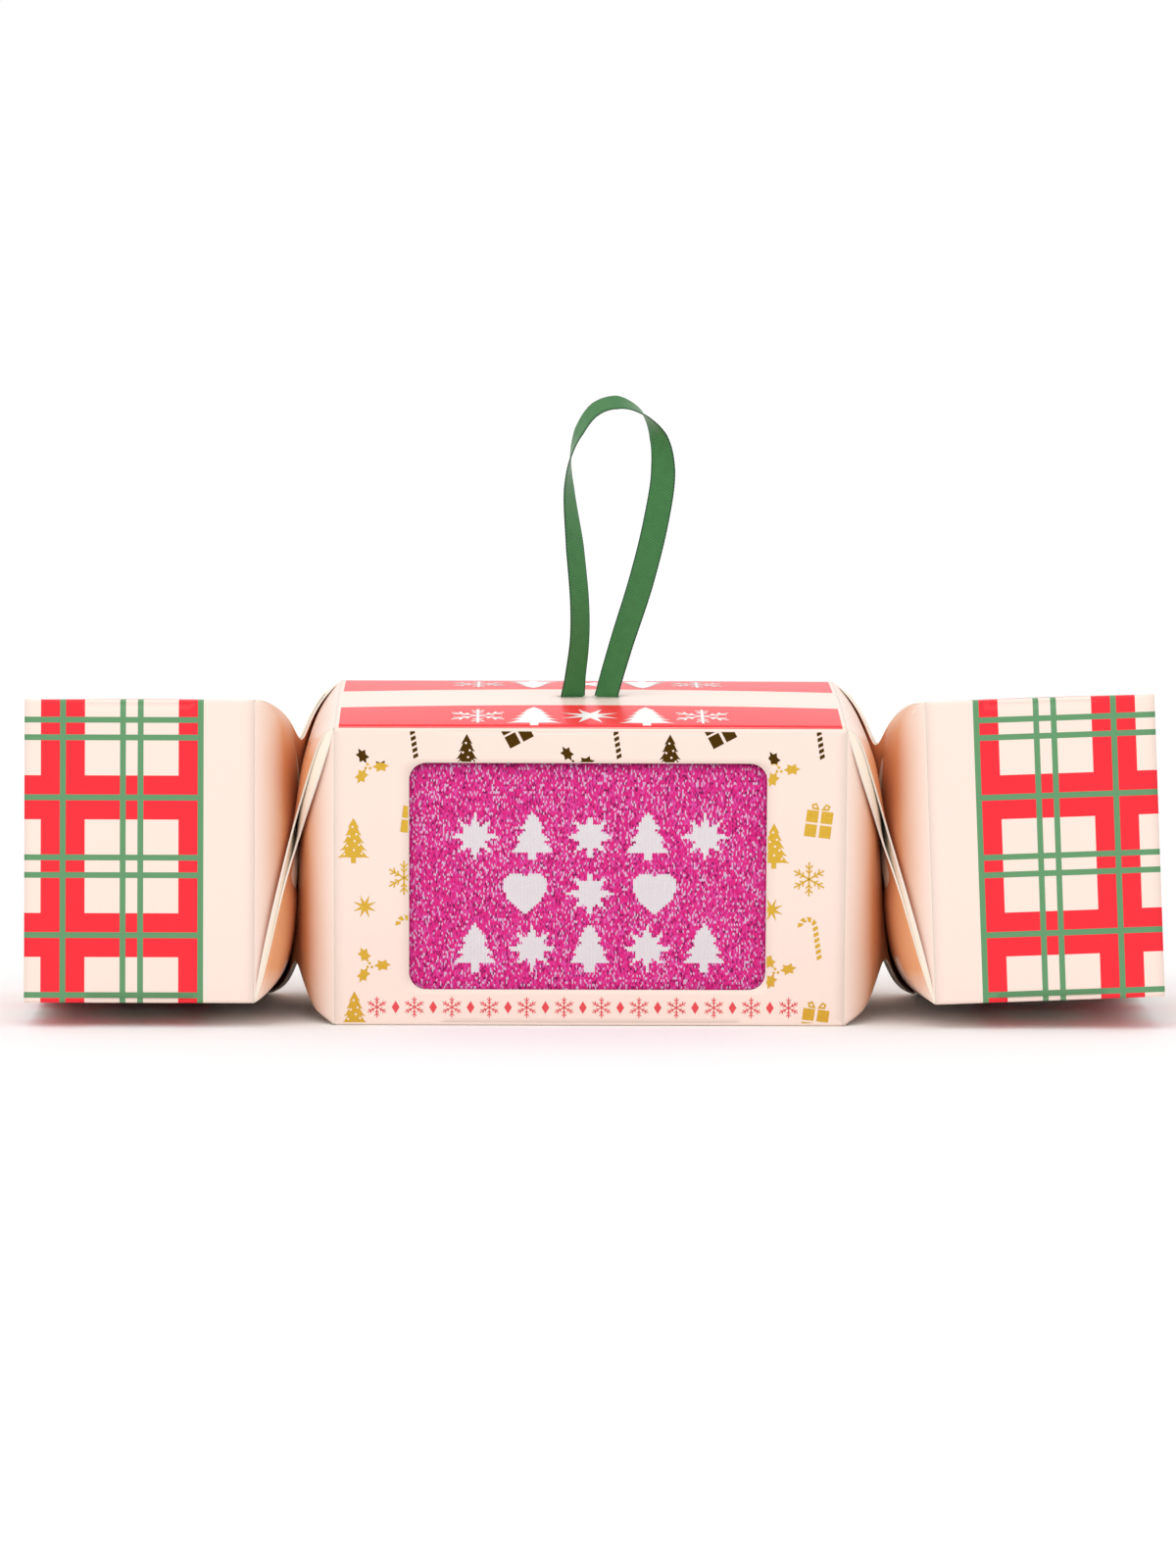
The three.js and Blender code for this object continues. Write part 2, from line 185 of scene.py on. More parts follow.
def mesh_piece(name: str, patches: list[Patch], placement: Placement, weld: float = WELD,
               sharp: float = CREASE_TURN) -> bpy.types.Object:
    """Joins patches into one mesh object whose place is in its mesh.

    Args:
        name: The piece's name.
        patches: Its patches, in the frame of the tube that carries it.
        placement: Where that tube lies.
        weld: Points closer than this, in millimetres, become one. 0 leaves them apart.
        sharp: The angle, in degrees, above which an edge shows as a crease.

    Returns:
        The new object, linked to the scene.
    """
    starts = np.cumsum([0] + [len(patch.points) for patch in patches])
    points = placement.world(np.concatenate([patch.points for patch in patches]))
    uv = np.concatenate([patch.uv for patch in patches])
    faces = [tuple(int(start) + corner for corner in face)
             for patch, start in zip(patches, starts) for face in patch.faces]
    mesh = bpy.data.meshes.new(name)
    mesh.from_pydata(points.tolist(), [], faces)
    corners = np.zeros(len(mesh.loops), np.int32)
    mesh.loops.foreach_get("vertex_index", corners)
    layer = mesh.uv_layers.new(name="print")
    layer.data.foreach_set("uv", uv[corners].astype(np.float32).ravel())
    finishes = np.concatenate([np.full(len(patch.faces), patch.finish) for patch in patches])
    mesh.polygons.foreach_set("material_index", finishes.astype(np.int32))
    if weld:
        work = bmesh.new()
        work.from_mesh(mesh)
        bmesh.ops.remove_doubles(work, verts=work.verts, dist=weld * MM)
        work.to_mesh(mesh)
        work.free()
    mesh.shade_smooth()
    mesh.set_sharp_from_angle(angle=math.radians(sharp))
    piece = bpy.data.objects.new(name, mesh)
    bpy.context.scene.collection.objects.link(piece)
    return piece


def thicken(piece: bpy.types.Object, offset: float = -1.0, even: bool = True) -> None:
    """Gives a surface the board's thickness.

    Args:
        piece: The surface. Its finishes are the print, the bare inside and the cut edge.
        offset: -1 adds the board behind the print, 0 on both sides of the surface.
        even: True keeps the thickness at creases, which would make spikes at tight folds.
    """
    board = piece.modifiers.new("board", "SOLIDIFY")
    board.thickness = BOARD * MM
    board.offset = offset
    board.use_even_offset = even
    board.material_offset = 1
    board.material_offset_rim = 2
    settle(piece)


def settle(piece: bpy.types.Object) -> None:
    """Applies a piece's modifiers, so that its mesh is final.

    Args:
        piece: The piece.
    """
    graph = bpy.context.evaluated_depsgraph_get()
    graph.update()
    mesh = bpy.data.meshes.new_from_object(
        piece.evaluated_get(graph), preserve_all_data_layers=True, depsgraph=graph)
    piece.modifiers.clear()
    piece.data = mesh


def dress(piece: bpy.types.Object, *finishes: bpy.types.Material) -> None:
    """Puts finishes on a piece, in the order of its finish numbers."""
    for finish in finishes:
        piece.data.materials.append(finish)


class Recipe:
    """Builds the nodes of one finish, round a Principled shader."""

    def __init__(self, name: str) -> None:
        """Starts an empty material of that name.

        Args:
            name: The material's name.
        """
        self.material = bpy.data.materials.new(name)
        self.material.use_nodes = True
        self.tree = self.material.node_tree
        self.tree.nodes.clear()
        self.shader = self.add("ShaderNodeBsdfPrincipled")
        output = self.add("ShaderNodeOutputMaterial")
        self.tree.links.new(self.shader.outputs["BSDF"], output.inputs["Surface"])

    def add(self, kind: str) -> bpy.types.Node:
        """A new node of that kind."""
        return self.tree.nodes.new(kind)

    def feed(self, socket: bpy.types.NodeSocket, value: object) -> None:
        """Links a socket to another, or sets its value.

        Args:
            socket: The input.
            value: The output that feeds it, or what it is set to.
        """
        if isinstance(value, bpy.types.NodeSocket):
            self.tree.links.new(value, socket)
        else:
            socket.default_value = value

    def shade(self, **values: object) -> None:
        """Sets or links the shader's own sockets. Base_Color stands for Base Color."""
        for name, value in values.items():
            self.feed(self.shader.inputs[name.replace("_", " ")], value)

    def place(self, layer: str = "print") -> tuple:
        """The place in a UV layer.

        Args:
            layer: The layer's name.

        Returns:
            The first coordinate, the second, and the vector of both.
        """
        source = self.add("ShaderNodeUVMap")
        source.uv_map = layer
        parts = self.add("ShaderNodeSeparateXYZ")
        self.feed(parts.inputs[0], source.outputs[0])
        return parts.outputs[0], parts.outputs[1], source.outputs[0]

    def body_place(self) -> bpy.types.NodeSocket:
        """The object's own coordinates, in metres."""
        return self.add("ShaderNodeTexCoord").outputs["Object"]

    def math(self, operation: str, first: object, second: object = 0.0, third: object = 0.0,
             clamp: bool = False) -> bpy.types.NodeSocket:
        """A calculation with up to three values.

        Args:
            operation: What the node does.
            first: Its first value.
            second: Its second value.
            third: Its third value.
            clamp: True keeps the result between 0 and 1.

        Returns:
            The result.
        """
        node = self.add("ShaderNodeMath")
        node.operation = operation
        node.use_clamp = clamp
        for socket, value in zip(node.inputs, (first, second, third)):
            self.feed(socket, value)
        return node.outputs[0]

    def either(self, first: object, second: object) -> bpy.types.NodeSocket:
        """The larger of two masks."""
        return self.math("MAXIMUM", first, second)

    def between(self, value: object, low: float, high: float) -> bpy.types.NodeSocket:
        """1 where value lies between low and high, else 0."""
        above, below = self.math("GREATER_THAN", value, low), self.math("LESS_THAN", value, high)
        return self.math("MULTIPLY", above, below)

    def mix(self, share: object, first: object, second: object) -> bpy.types.NodeSocket:
        """A colour between two, by share.

        Args:
            share: 0 for the first, 1 for the second.
            first: One colour.
            second: The other colour.

        Returns:
            The colour.
        """
        node = self.add("ShaderNodeMix")
        node.data_type = "RGBA"
        self.feed(node.inputs[0], share)
        self.feed(node.inputs[6], first)
        self.feed(node.inputs[7], second)
        return node.outputs[2]

    def noise(self, place: object, size: float, detail: float = 3.0) -> bpy.types.NodeSocket:
        """Noise whose lumps are about size across, in the units of place.

        Args:
            place: The vector to read it at.
            size: The size of a lump.
            detail: Finer layers of noise.

        Returns:
            The noise, 0 to 1.
        """
        node = self.add("ShaderNodeTexNoise")
        self.feed(node.inputs["Vector"], place)
        node.inputs["Scale"].default_value = 1.0 / size
        node.inputs["Detail"].default_value = detail
        return node.outputs[0]

    def ramp(self, value: object, stops: list[tuple], stepped: bool = False) -> bpy.types.NodeSocket:
        """A colour picked along a ramp.

        Args:
            value: Where on the ramp, 0 to 1.
            stops: Pairs of place and colour.
            stepped: True for bands without a blend between them.

        Returns:
            The colour.
        """
        node = self.add("ShaderNodeValToRGB")
        node.color_ramp.interpolation = "CONSTANT" if stepped else "LINEAR"
        elements = node.color_ramp.elements
        elements.remove(elements[1])
        elements[0].position, elements[0].color = stops[0]
        for position, colour in stops[1:]:
            elements.new(position).color = colour
        self.feed(node.inputs[0], value)
        return node.outputs[0]

    def bump(self, height: object, depth: float, strength: float = 1.0) -> bpy.types.NodeSocket:
        """A normal from a height.

        Args:
            height: 0 to 1.
            depth: How high 1 stands, in millimetres.
            strength: How much of it shows.

        Returns:
            The normal.
        """
        node = self.add("ShaderNodeBump")
        node.inputs["Distance"].default_value = depth * MM
        node.inputs["Strength"].default_value = strength
        self.feed(node.inputs["Height"], height)
        return node.outputs[0]


Colour = tuple[float, float, float, float]


@dataclass(frozen=True)
class PrintedBoard:
    """Cream ink under a thin varnish on smooth boxboard."""

    name: str = "printed_board"
    cream: Colour = (0.92, 0.745, 0.655, 1.0)
    cream_shade: Colour = (0.85, 0.66, 0.56, 1.0)
    mottle_size: float = 9.0
    mottle: float = 0.06
    varnish: float = 0.12
    varnish_roughness: float = 0.12
    gloss: float = 0.25
    roughness: float = 0.36
    fibre: float = 0.00035
    wave: float = 0.016
    wave_weight: float = 5.0
    relief: float = 0.012
    relief_strength: float = 0.8

    def ink(self, recipe: Recipe) -> object:
        """The colour of the ink, a slight mottle on the cream.

        Args:
            recipe: The material.

        Returns:
            The colour.
        """
        _, _, place = recipe.place()
        mottle = recipe.math("MULTIPLY", recipe.noise(place, self.mottle_size), self.mottle)
        return recipe.mix(mottle, self.cream, self.cream_shade)

    def make(self) -> bpy.types.Material:
        """The ink under its varnish, on fine fibres and low waves.

        Returns:
            The material.
        """
        recipe = Recipe(self.name)
        place = recipe.body_place()
        fibres = recipe.noise(place, self.fibre, 2.0)
        waves = recipe.noise(place, self.wave, 1.0)
        height = recipe.math("MULTIPLY_ADD", waves, self.wave_weight, fibres)
        recipe.shade(Base_Color=self.ink(recipe), Roughness=self.roughness, Specular_IOR_Level=self.gloss,
                     Coat_Weight=self.varnish, Coat_Roughness=self.varnish_roughness,
                     Normal=recipe.bump(height, self.relief, self.relief_strength))
        return recipe.material


@dataclass(frozen=True)
class NeckBoard(PrintedBoard):
    """The cream ink of the necks, with painted shade: tan painted into the folds, deeper behind the crease.
    """

    name: str = "neck_board"
    # Painted shade: the tan of the folds, the depth over which it comes in, and its easing
    fold: Colour = (0.76, 0.33, 0.145, 1.0)
    reach: float = 9.0
    easing: float = 0.2

    def ink(self, recipe: Recipe) -> object:
        """Cream that turns to a painted tan shade with the depth behind the crease that the web hangs on.

        Args:
            recipe: The material.

        Returns:
            The colour.
        """
        depth, _, _ = recipe.place()
        # Painted shade: the cream turns tan with the depth into the fold
        share = recipe.math("DIVIDE", depth, self.reach, clamp=True)
        return recipe.mix(recipe.math("SMOOTH_MIN", share, 1.0, self.easing), self.cream, self.fold)


@dataclass(frozen=True)
class BandedBoard(PrintedBoard):
    """The centre's print: two red bands along the top panel, a third of it each, short of its ends."""

    name: str = "banded_board"
    red: Colour = (0.90, 0.022, 0.035, 1.0)
    band: float = BOX_SIDE / 3
    reach: float = CENTRE_LENGTH / 2 - 1.0
    crease_margin: float = 0.2

    def ink(self, recipe: Recipe) -> object:
        """Red where the place round the tube lies in a band and the place along it inside the margin.

        Args:
            recipe: The material.

        Returns:
            The colour.
        """
        along, girth, _ = recipe.place()
        front = recipe.between(girth, BOX_SIDE + self.crease_margin, BOX_SIDE + self.band)
        back = recipe.between(girth, 2 * BOX_SIDE - self.band, 2 * BOX_SIDE)
        inside = recipe.math("LESS_THAN", recipe.math("ABSOLUTE", along), self.reach)
        mask = recipe.math("MULTIPLY", recipe.either(front, back), inside)
        return recipe.mix(mask, self.cream, self.red)


@dataclass(frozen=True)
class PlaidBoard(PrintedBoard):
    """The ends' print: an open plaid that starts at a green line some way from the neck.

    The stripes repeat in both directions. Counted from the middle of a red stripe, half a green line,
    the red, the cream and a green line of the pair follow each other, and then the same backwards.
    """

    name: str = "plaid_board"
    red: Colour = (0.92, 0.016, 0.032, 1.0)
    green: Colour = (0.115, 0.30, 0.135, 1.0)
    period: float = 31.75
    line: float = 1.35
    red_half: float = 5.08
    pair_from: float = 13.17
    margin: float = 11.7
    girth_phase: float = 47.4

    def stripes(self, recipe: Recipe, place: object) -> tuple:
        """The masks of the stripes of one direction.

        Args:
            recipe: The material that they become part of.
            place: The place, counted from the middle of a red stripe.

        Returns:
            The red mask and the green mask.
        """
        folded = recipe.math("PINGPONG", place, self.period / 2)
        red = recipe.math("LESS_THAN", folded, self.red_half)
        middle = recipe.math("LESS_THAN", folded, self.line / 2)
        pair = recipe.between(folded, self.pair_from, self.pair_from + self.line)
        return red, recipe.either(middle, pair)

    def ink(self, recipe: Recipe) -> object:
        """Green over red over cream, and plain cream beside the neck.

        Args:
            recipe: The material.

        Returns:
            The colour.
        """
        along, girth, _ = recipe.place()
        start = recipe.math("SUBTRACT", recipe.math("ABSOLUTE", along), self.margin)
        red_x, green_x = self.stripes(recipe, recipe.math("SUBTRACT", start, self.line / 2))
        red_y, green_y = self.stripes(recipe, recipe.math("SUBTRACT", girth, self.girth_phase))
        printed = recipe.math("GREATER_THAN", start, 0.0)
        red = recipe.math("MULTIPLY", recipe.either(red_x, red_y), printed)
        green = recipe.math("MULTIPLY", recipe.either(green_x, green_y), printed)
        return recipe.mix(green, recipe.mix(red, self.cream, self.red), self.green)


@dataclass(frozen=True)
class BareBoard:
    """The uncoated side or the cut edge of the board."""

    name: str = "bare_board"
    colour: Colour = (0.80, 0.73, 0.64, 1.0)
    fleck: Colour = (0.66, 0.57, 0.47, 1.0)
    grain: float = 0.0007
    flecks: float = 0.5
    roughness: float = 0.85
    relief: float = 0.03
    relief_strength: float = 0.7

    def make(self) -> bpy.types.Material:
        """A matt pulp colour with fine fibres in its colour and its surface.

        Returns:
            The material.
        """
        recipe = Recipe(self.name)
        fibres = recipe.noise(recipe.body_place(), self.grain, 4.0)
        pulp = recipe.mix(recipe.math("MULTIPLY", fibres, self.flecks), self.colour, self.fleck)
        recipe.shade(Base_Color=pulp, Roughness=self.roughness,
                     Normal=recipe.bump(fibres, self.relief, self.relief_strength))
        return recipe.material


@dataclass(frozen=True)
class GoldFoil:
    """Hot-stamped foil: a bright metal with the board's faint unevenness.

    A painted reflection darkens the top of the front panel, which leans forward, where it would mirror the
    dark foreground.
    """

    name: str = "gold_foil"
    colour: Colour = (0.80, 0.52, 0.075, 1.0)
    speckle: Colour = (0.62, 0.34, 0.03, 1.0)
    # Painted reflection: its dark tone, and the band of the place round the tube that it covers
    painted_reflection: Colour = (0.075, 0.035, 0.005, 1.0)
    reflection_from: float = 61.8
    reflection_to: float = 71.0
    roughness: float = 0.2
    pit: float = 0.0005
    relief: float = 0.02
    relief_strength: float = 0.6

    def make(self) -> bpy.types.Material:
        """A metal whose tone varies in fine pits, with a painted dark reflection near the top of the front
        panel.

        Returns:
            The material.
        """
        recipe = Recipe(self.name)
        pits = recipe.noise(recipe.body_place(), self.pit)
        _, girth, _ = recipe.place()
        bright = recipe.mix(pits, self.colour, self.speckle)
        # Painted reflection: a dark tone in a band at the top of the front panel
        tone = recipe.mix(recipe.between(girth, self.reflection_from, self.reflection_to), bright, self.painted_reflection)
        recipe.shade(Base_Color=tone, Metallic=1.0, Roughness=self.roughness,
                     Normal=recipe.bump(pits, self.relief, self.relief_strength))
        return recipe.material


@dataclass(frozen=True)
class FlatInk:
    """One ink printed on its own, with the varnish over it."""

    name: str
    colour: Colour
    roughness: float = 0.4
    mottle_size: float = 0.0006
    mottle: float = 0.5
    darker: float = 0.86
    varnish: float = 0.35
    varnish_roughness: float = 0.12
    relief: float = 0.006
    relief_strength: float = 0.5

    def make(self) -> bpy.types.Material:
        """The ink with a faint mottle of the board below.

        Returns:
            The material.
        """
        recipe = Recipe(self.name)
        lumps = recipe.noise(recipe.body_place(), self.mottle_size)
        shade = tuple(self.darker * part for part in self.colour[:3]) + (1.0,)
        recipe.shade(Base_Color=recipe.mix(recipe.math("MULTIPLY", lumps, self.mottle), self.colour, shade),
                     Roughness=self.roughness,
                     Coat_Weight=self.varnish, Coat_Roughness=self.varnish_roughness,
                     Normal=recipe.bump(lumps, self.relief, self.relief_strength))
        return recipe.material


@dataclass(frozen=True)
class SatinRibbon:
    """Woven satin: fine weft floats across the ribbon, and a tight dark selvedge on each side. The green's
    light and dark are partly the weave's own look and partly painted sheen.
    """

    name: str = "satin_ribbon"
    light: Colour = (0.062, 0.255, 0.062, 1.0)
    dark: Colour = (0.010, 0.075, 0.022, 1.0)
    selvedge: Colour = (0.008, 0.045, 0.02, 1.0)
    float_pitch: float = 0.62
    thread_pitch: float = 0.5
    edge: float = 2.68
    skew: float = 0.35
    crossing: float = 0.25
    floating: float = 0.2
    # Size and strength of the broad lumps of painted sheen
    wear_size: float = 2.2
    wear: float = 0.35
    weave_share: float = 0.75
    edge_pitch: float = 0.8
    edge_gap: float = -0.8
    roughness: float = 0.45
    gloss: float = 0.35
    sheen: float = 0.12
    sheen_roughness: float = 0.35
    relief: float = 0.05
    relief_strength: float = 0.8

    @staticmethod
    def wave(recipe: Recipe, place: object, pitch: float) -> bpy.types.NodeSocket:
        """A sine wave of that pitch."""
        return recipe.math("SINE", recipe.math("MULTIPLY", place, 2 * math.pi / pitch))

    def make(self) -> bpy.types.Material:
        """Floats run slightly askew across the width, and warp threads cross them. The green is lighter on
        the floats and in broad lumps of noise: painted sheen.

        Returns:
            The material.
        """
        recipe = Recipe(self.name)
        across, along, place = recipe.place()
        weft = self.wave(recipe, recipe.math("MULTIPLY_ADD", across, self.skew, along), self.float_pitch)
        warp = self.wave(recipe, across, self.thread_pitch)
        thread = recipe.math("MULTIPLY_ADD", recipe.math("MULTIPLY", weft, warp), self.crossing, 0.5)
        weave = recipe.math("MULTIPLY_ADD", weft, self.floating, thread)
        # Painted sheen: the green lightens on the floats and in broad lumps of noise
        lit = recipe.math("MULTIPLY_ADD", recipe.noise(place, self.wear_size), self.wear,
                          recipe.math("MULTIPLY", weave, self.weave_share), clamp=True)
        cloth = recipe.mix(lit, self.dark, self.light)
        edge = recipe.math("GREATER_THAN", recipe.math("ABSOLUTE", across), self.edge)
        stitch = recipe.math("GREATER_THAN", self.wave(recipe, along, self.edge_pitch), self.edge_gap)
        recipe.shade(Base_Color=recipe.mix(recipe.math("MULTIPLY", edge, stitch), cloth, self.selvedge),
                     Roughness=self.roughness, Sheen_Weight=self.sheen, Sheen_Roughness=self.sheen_roughness,
                     Specular_IOR_Level=self.gloss,
                     Normal=recipe.bump(weave, self.relief, self.relief_strength))
        return recipe.material


@dataclass(frozen=True)
class GlitterKnit:
    """Fine jersey of a dyed yarn twisted with a glitter thread, and a plain pale yarn for the motifs."""

    name: str = "glitter_knit"
    shadow: Colour = (0.26, 0.003, 0.10, 1.0)
    deep: Colour = (0.76, 0.008, 0.24, 1.0)
    pink: Colour = (0.97, 0.022, 0.29, 1.0)
    bright: Colour = (0.95, 0.10, 0.50, 1.0)
    spark: Colour = (0.95, 0.66, 0.92, 1.0)
    pale: Colour = (1.0, 0.97, 0.99, 1.0)
    pale_shade: Colour = (0.98, 0.80, 0.91, 1.0)

    # Where on a yarn's tone, 0 to 1, each of the dyed colours starts, and how far the pale yarn varies
    starts: tuple = (0.0, 0.1, 0.26, 0.68, 0.86)
    pale_spread: float = 0.22

    # The round of a leg, the width and strength of the painted shade in the grooves between legs, and how
    # much less of it shows on a motif
    roundness: float = 0.7
    swell: float = 0.45
    painted_groove_shade_width: float = 0.6
    painted_groove_shade: float = 0.4
    motif_painted_shade: float = -0.28
    metal: float = 0.25
    roughness: float = 0.55
    gloss: float = 0.2
    sheen: float = 0.08
    relief: float = 0.25
    relief_strength: float = 0.9

    def make(self) -> bpy.types.Material:
        """Each stitch leg has its own tone, and is round across and along, with painted shade darkening the
        grooves between legs.

        Returns:
            The material.
        """
        recipe = Recipe(self.name)
        yarn = self.attribute(recipe, "yarn")
        motif = self.attribute(recipe, "motif")
        across, along, _ = recipe.place("stitch")
        rise = recipe.math("SINE", recipe.math("MULTIPLY", across, math.pi))
        swell = recipe.math("SINE", recipe.math("MULTIPLY", along, math.pi))
        leg = recipe.math("MULTIPLY", recipe.math("POWER", rise, self.roundness),
                          recipe.math("MULTIPLY_ADD", swell, self.swell, 1 - self.swell))
        tones = (self.shadow, self.deep, self.pink, self.bright, self.spark)
        glitter = recipe.ramp(yarn, list(zip(self.starts, tones)), stepped=True)
        plain = recipe.mix(recipe.math("MULTIPLY", yarn, self.pale_spread), self.pale, self.pale_shade)
        tone = recipe.mix(motif, glitter, plain)
        # Painted shade: the colour darkens towards the deep pink in the grooves between legs, less on a motif
        painted_groove_shade = recipe.math("SUBTRACT", 1.0, recipe.math("POWER", leg, self.painted_groove_shade_width), clamp=True)
        darkening = recipe.math("MULTIPLY_ADD", motif, self.motif_painted_shade, self.painted_groove_shade)
        shade = recipe.math("MULTIPLY", painted_groove_shade, darkening)
        thread = recipe.math("GREATER_THAN", yarn, self.starts[-1])
        metal = recipe.math("MULTIPLY", thread, recipe.math("SUBTRACT", self.metal, motif, clamp=True))
        recipe.shade(Base_Color=recipe.mix(shade, tone, self.deep), Roughness=self.roughness, Metallic=metal,
                     Specular_IOR_Level=self.gloss, Sheen_Weight=self.sheen,
                     Normal=recipe.bump(leg, self.relief, self.relief_strength))
        return recipe.material

    @staticmethod
    def attribute(recipe: Recipe, name: str) -> bpy.types.NodeSocket:
        """A value kept on the faces of the mesh.

        Args:
            recipe: The material.
            name: The name on the mesh.

        Returns:
            The value.
        """
        node = recipe.add("ShaderNodeAttribute")
        node.attribute_name = name
        return node.outputs["Fac"]


@dataclass(frozen=True)
class FloorFinish:
    """A seamless matt white sweep."""

    name: str = "floor"
    white: Colour = (0.90, 0.90, 0.90, 1.0)
    roughness: float = 0.9

    def make(self) -> bpy.types.Material:
        """A plain matt white.

        Returns:
            The material.
        """
        recipe = Recipe(self.name)
        recipe.shade(Base_Color=self.white, Roughness=self.roughness, Specular_IOR_Level=0.0)
        return recipe.material


class Finishes:
    """One copy of each finish of the carton."""

    def __init__(self) -> None:
        """Makes them all."""
        self.plain = PrintedBoard().make()
        self.neck = NeckBoard().make()
        self.banded = BandedBoard().make()
        self.plaid_left = PlaidBoard(name="plaid_left").make()
        self.plaid_right = PlaidBoard(name="plaid_right", margin=10.9).make()
        self.inside = BareBoard().make()
        # A lighter copy of the bare board for the necks' bare side: painted light
        self.neck_inside_painted_light = BareBoard("neck_inside_painted_light", (0.95, 0.85, 0.72, 1.0), (0.90, 0.76, 0.60, 1.0)).make()
        self.edge = BareBoard("cut_edge", (0.93, 0.88, 0.80, 1.0), (0.82, 0.74, 0.64, 1.0)).make()
        self.gold = GoldFoil().make()
        self.white_ink = FlatInk("white_ink", (0.95, 0.93, 0.90, 1.0)).make()
        self.red_ink = FlatInk("red_ink", (0.80, 0.045, 0.06, 1.0)).make()
        self.satin = SatinRibbon().make()
        self.knit = GlitterKnit().make()
        self.floor = FloorFinish().make()


class Side(Enum):
    """The two ends of the carton, and which way along X each lies."""

    LEFT = -1
    RIGHT = 1

    @property
    def word(self) -> str:
        """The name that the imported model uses."""
        return self.name.lower()


class Panel(Enum):
    """The panels of a tube, in the order of the place round it, from the front's lower crease up."""

    FRONT = 0
    TOP = 1
    BACK = 2
    BOTTOM = 3

    @property
    def outwards(self) -> np.ndarray:
        """The panel's outward direction in (y, z)."""
        return np.array([(-1, 0), (0, 1), (1, 0), (0, -1)][self.value], float)

    @property
    def round(self) -> np.ndarray:
        """The direction round the tube in (y, z), which is the next panel's outward direction."""
        return np.array([(0, 1), (1, 0), (0, -1), (-1, 0)][self.value], float)


@dataclass
class Tube:
    """A square tube of folded board, with softly bowed panels and rounded creases.

    A point of a panel is given by its place along the tube and its place t across the panel, from -35
    to 35 in the direction round the tube.
    """

    start: float
    end: float
    bow: dict = field(default_factory=dict)
    end_bow: dict = field(default_factory=dict)

    def lift(self, panel: Panel, along: np.ndarray, across: np.ndarray) -> np.ndarray:
        """How far a panel bows out: most in its middle, less at its ends and nothing at its creases.

        It falls with the square of the place along, from the middle's bow to the ends', and with the
        square of the place across to nothing.

        Args:
            panel: Which panel.
            along: Places along the tube.
            across: Places across the panel.

        Returns:
            How far out each place lies.
        """
        middle, reach = (self.start + self.end) / 2, (self.end - self.start) / 2
        inwards = np.clip(1 - ((along - middle) / reach) ** 2, 0, 1)
        low = self.end_bow.get(panel, 0.0)
        return (low + (self.bow.get(panel, 0.0) - low) * inwards) * np.clip(1 - (across / HALF) ** 2, 0, 1)

    def on_panel(self, panel: Panel, along: np.ndarray, across: np.ndarray, proud: float = 0.0) -> np.ndarray:
        """Points on the outside of a panel.

        Args:
            panel: Which panel.
            along: Places along the tube.
            across: Places across the panel.
            proud: How far the points stand off the board.

        Returns:
            The points, with a last axis of 3.
        """
        out = HALF + self.lift(panel, along, across) + proud
        n, a = panel.outwards, panel.round
        return np.stack([along + 0 * across, n[0] * out + a[0] * across, n[1] * out + a[1] * across], -1)

    def girth(self, panel: Panel, across: np.ndarray) -> np.ndarray:
        """The place round the tube of a place across a panel."""
        return panel.value * BOX_SIDE + HALF + across

    def sheet(self, panel: Panel, along: np.ndarray, across: np.ndarray,
              keep: np.ndarray | None = None) -> Patch:
        """A rectangular stretch of a panel as a grid, with holes where keep is False."""
        x, t = np.meshgrid(along, across)
        return grid_patch(self.on_panel(panel, x, t), np.stack([x, self.girth(panel, t)], -1), keep)

    def crease(self, panel: Panel, along: np.ndarray, steps: int = 7) -> Patch:
        """The rounded fold between a panel and the next: an arc round a centre inside the corner.

        Args:
            panel: The panel before the fold.
            along: Places along the tube.
            steps: Points of the arc.

        Returns:
            The patch.
        """
        x, angle = np.meshgrid(along, np.linspace(0, math.pi / 2, steps))
        n, a = panel.outwards, panel.round
        centre = (HALF - FOLD_RADIUS) * (n + a)
        yz = centre + FOLD_RADIUS * (np.cos(angle)[..., None] * n + np.sin(angle)[..., None] * a)
        flat = HALF - FOLD_RADIUS + 2 * FOLD_RADIUS * angle / (math.pi / 2)
        return grid_patch(np.concatenate([x[..., None], yz], -1), np.stack([x, self.girth(panel, flat)], -1))


def spaced(low: float, high: float, pitch: float, *marks: float) -> np.ndarray:
    """Places from low to high about pitch apart that include every mark.

    Args:
        low: The first place.
        high: The last place.
        pitch: The distance aimed at.
        marks: Places that have to be among them.

    Returns:
        The places, in order.
    """
    stops = sorted({low, high, *marks})
    runs = [np.linspace(a, b, max(2, int(round((b - a) / pitch)) + 1))[:-1] for a, b in zip(stops, stops[1:])]
    return np.concatenate([*runs, [high]])


def rounded_gauge(directions: np.ndarray, width: float, height: float, radius: float) -> np.ndarray:
    """How far a rounded rectangle reaches from its middle in each direction, found by halving.

    Args:
        directions: Directions (n, 2), of any length.
        width: The rectangle's width.
        height: Its height.
        radius: The radius of its corners.

    Returns:
        For each direction, the multiple of it that ends on the outline.
    """
    low, high = np.zeros(len(directions)), np.full(len(directions), width + height)
    inner = np.array([width / 2 - radius, height / 2 - radius])
    for _ in range(40):
        trial = (low + high) / 2
        beyond = np.abs(directions * trial[:, None]) - inner
        distance = np.hypot(*np.maximum(beyond, 0).T) + np.minimum(beyond.max(1), 0) - radius
        low = np.where(distance < 0, trial, low)
        high = np.where(distance < 0, high, trial)
    return (low + high) / 2


class Ornament(Enum):
    """The foil pictures: common Christmas things, drawn here."""

    TREE = "tree"
    HOLLY = "holly"
    CANE = "cane"
    GIFT = "gift"
    FLAKE = "flake"
    STAR = "star"


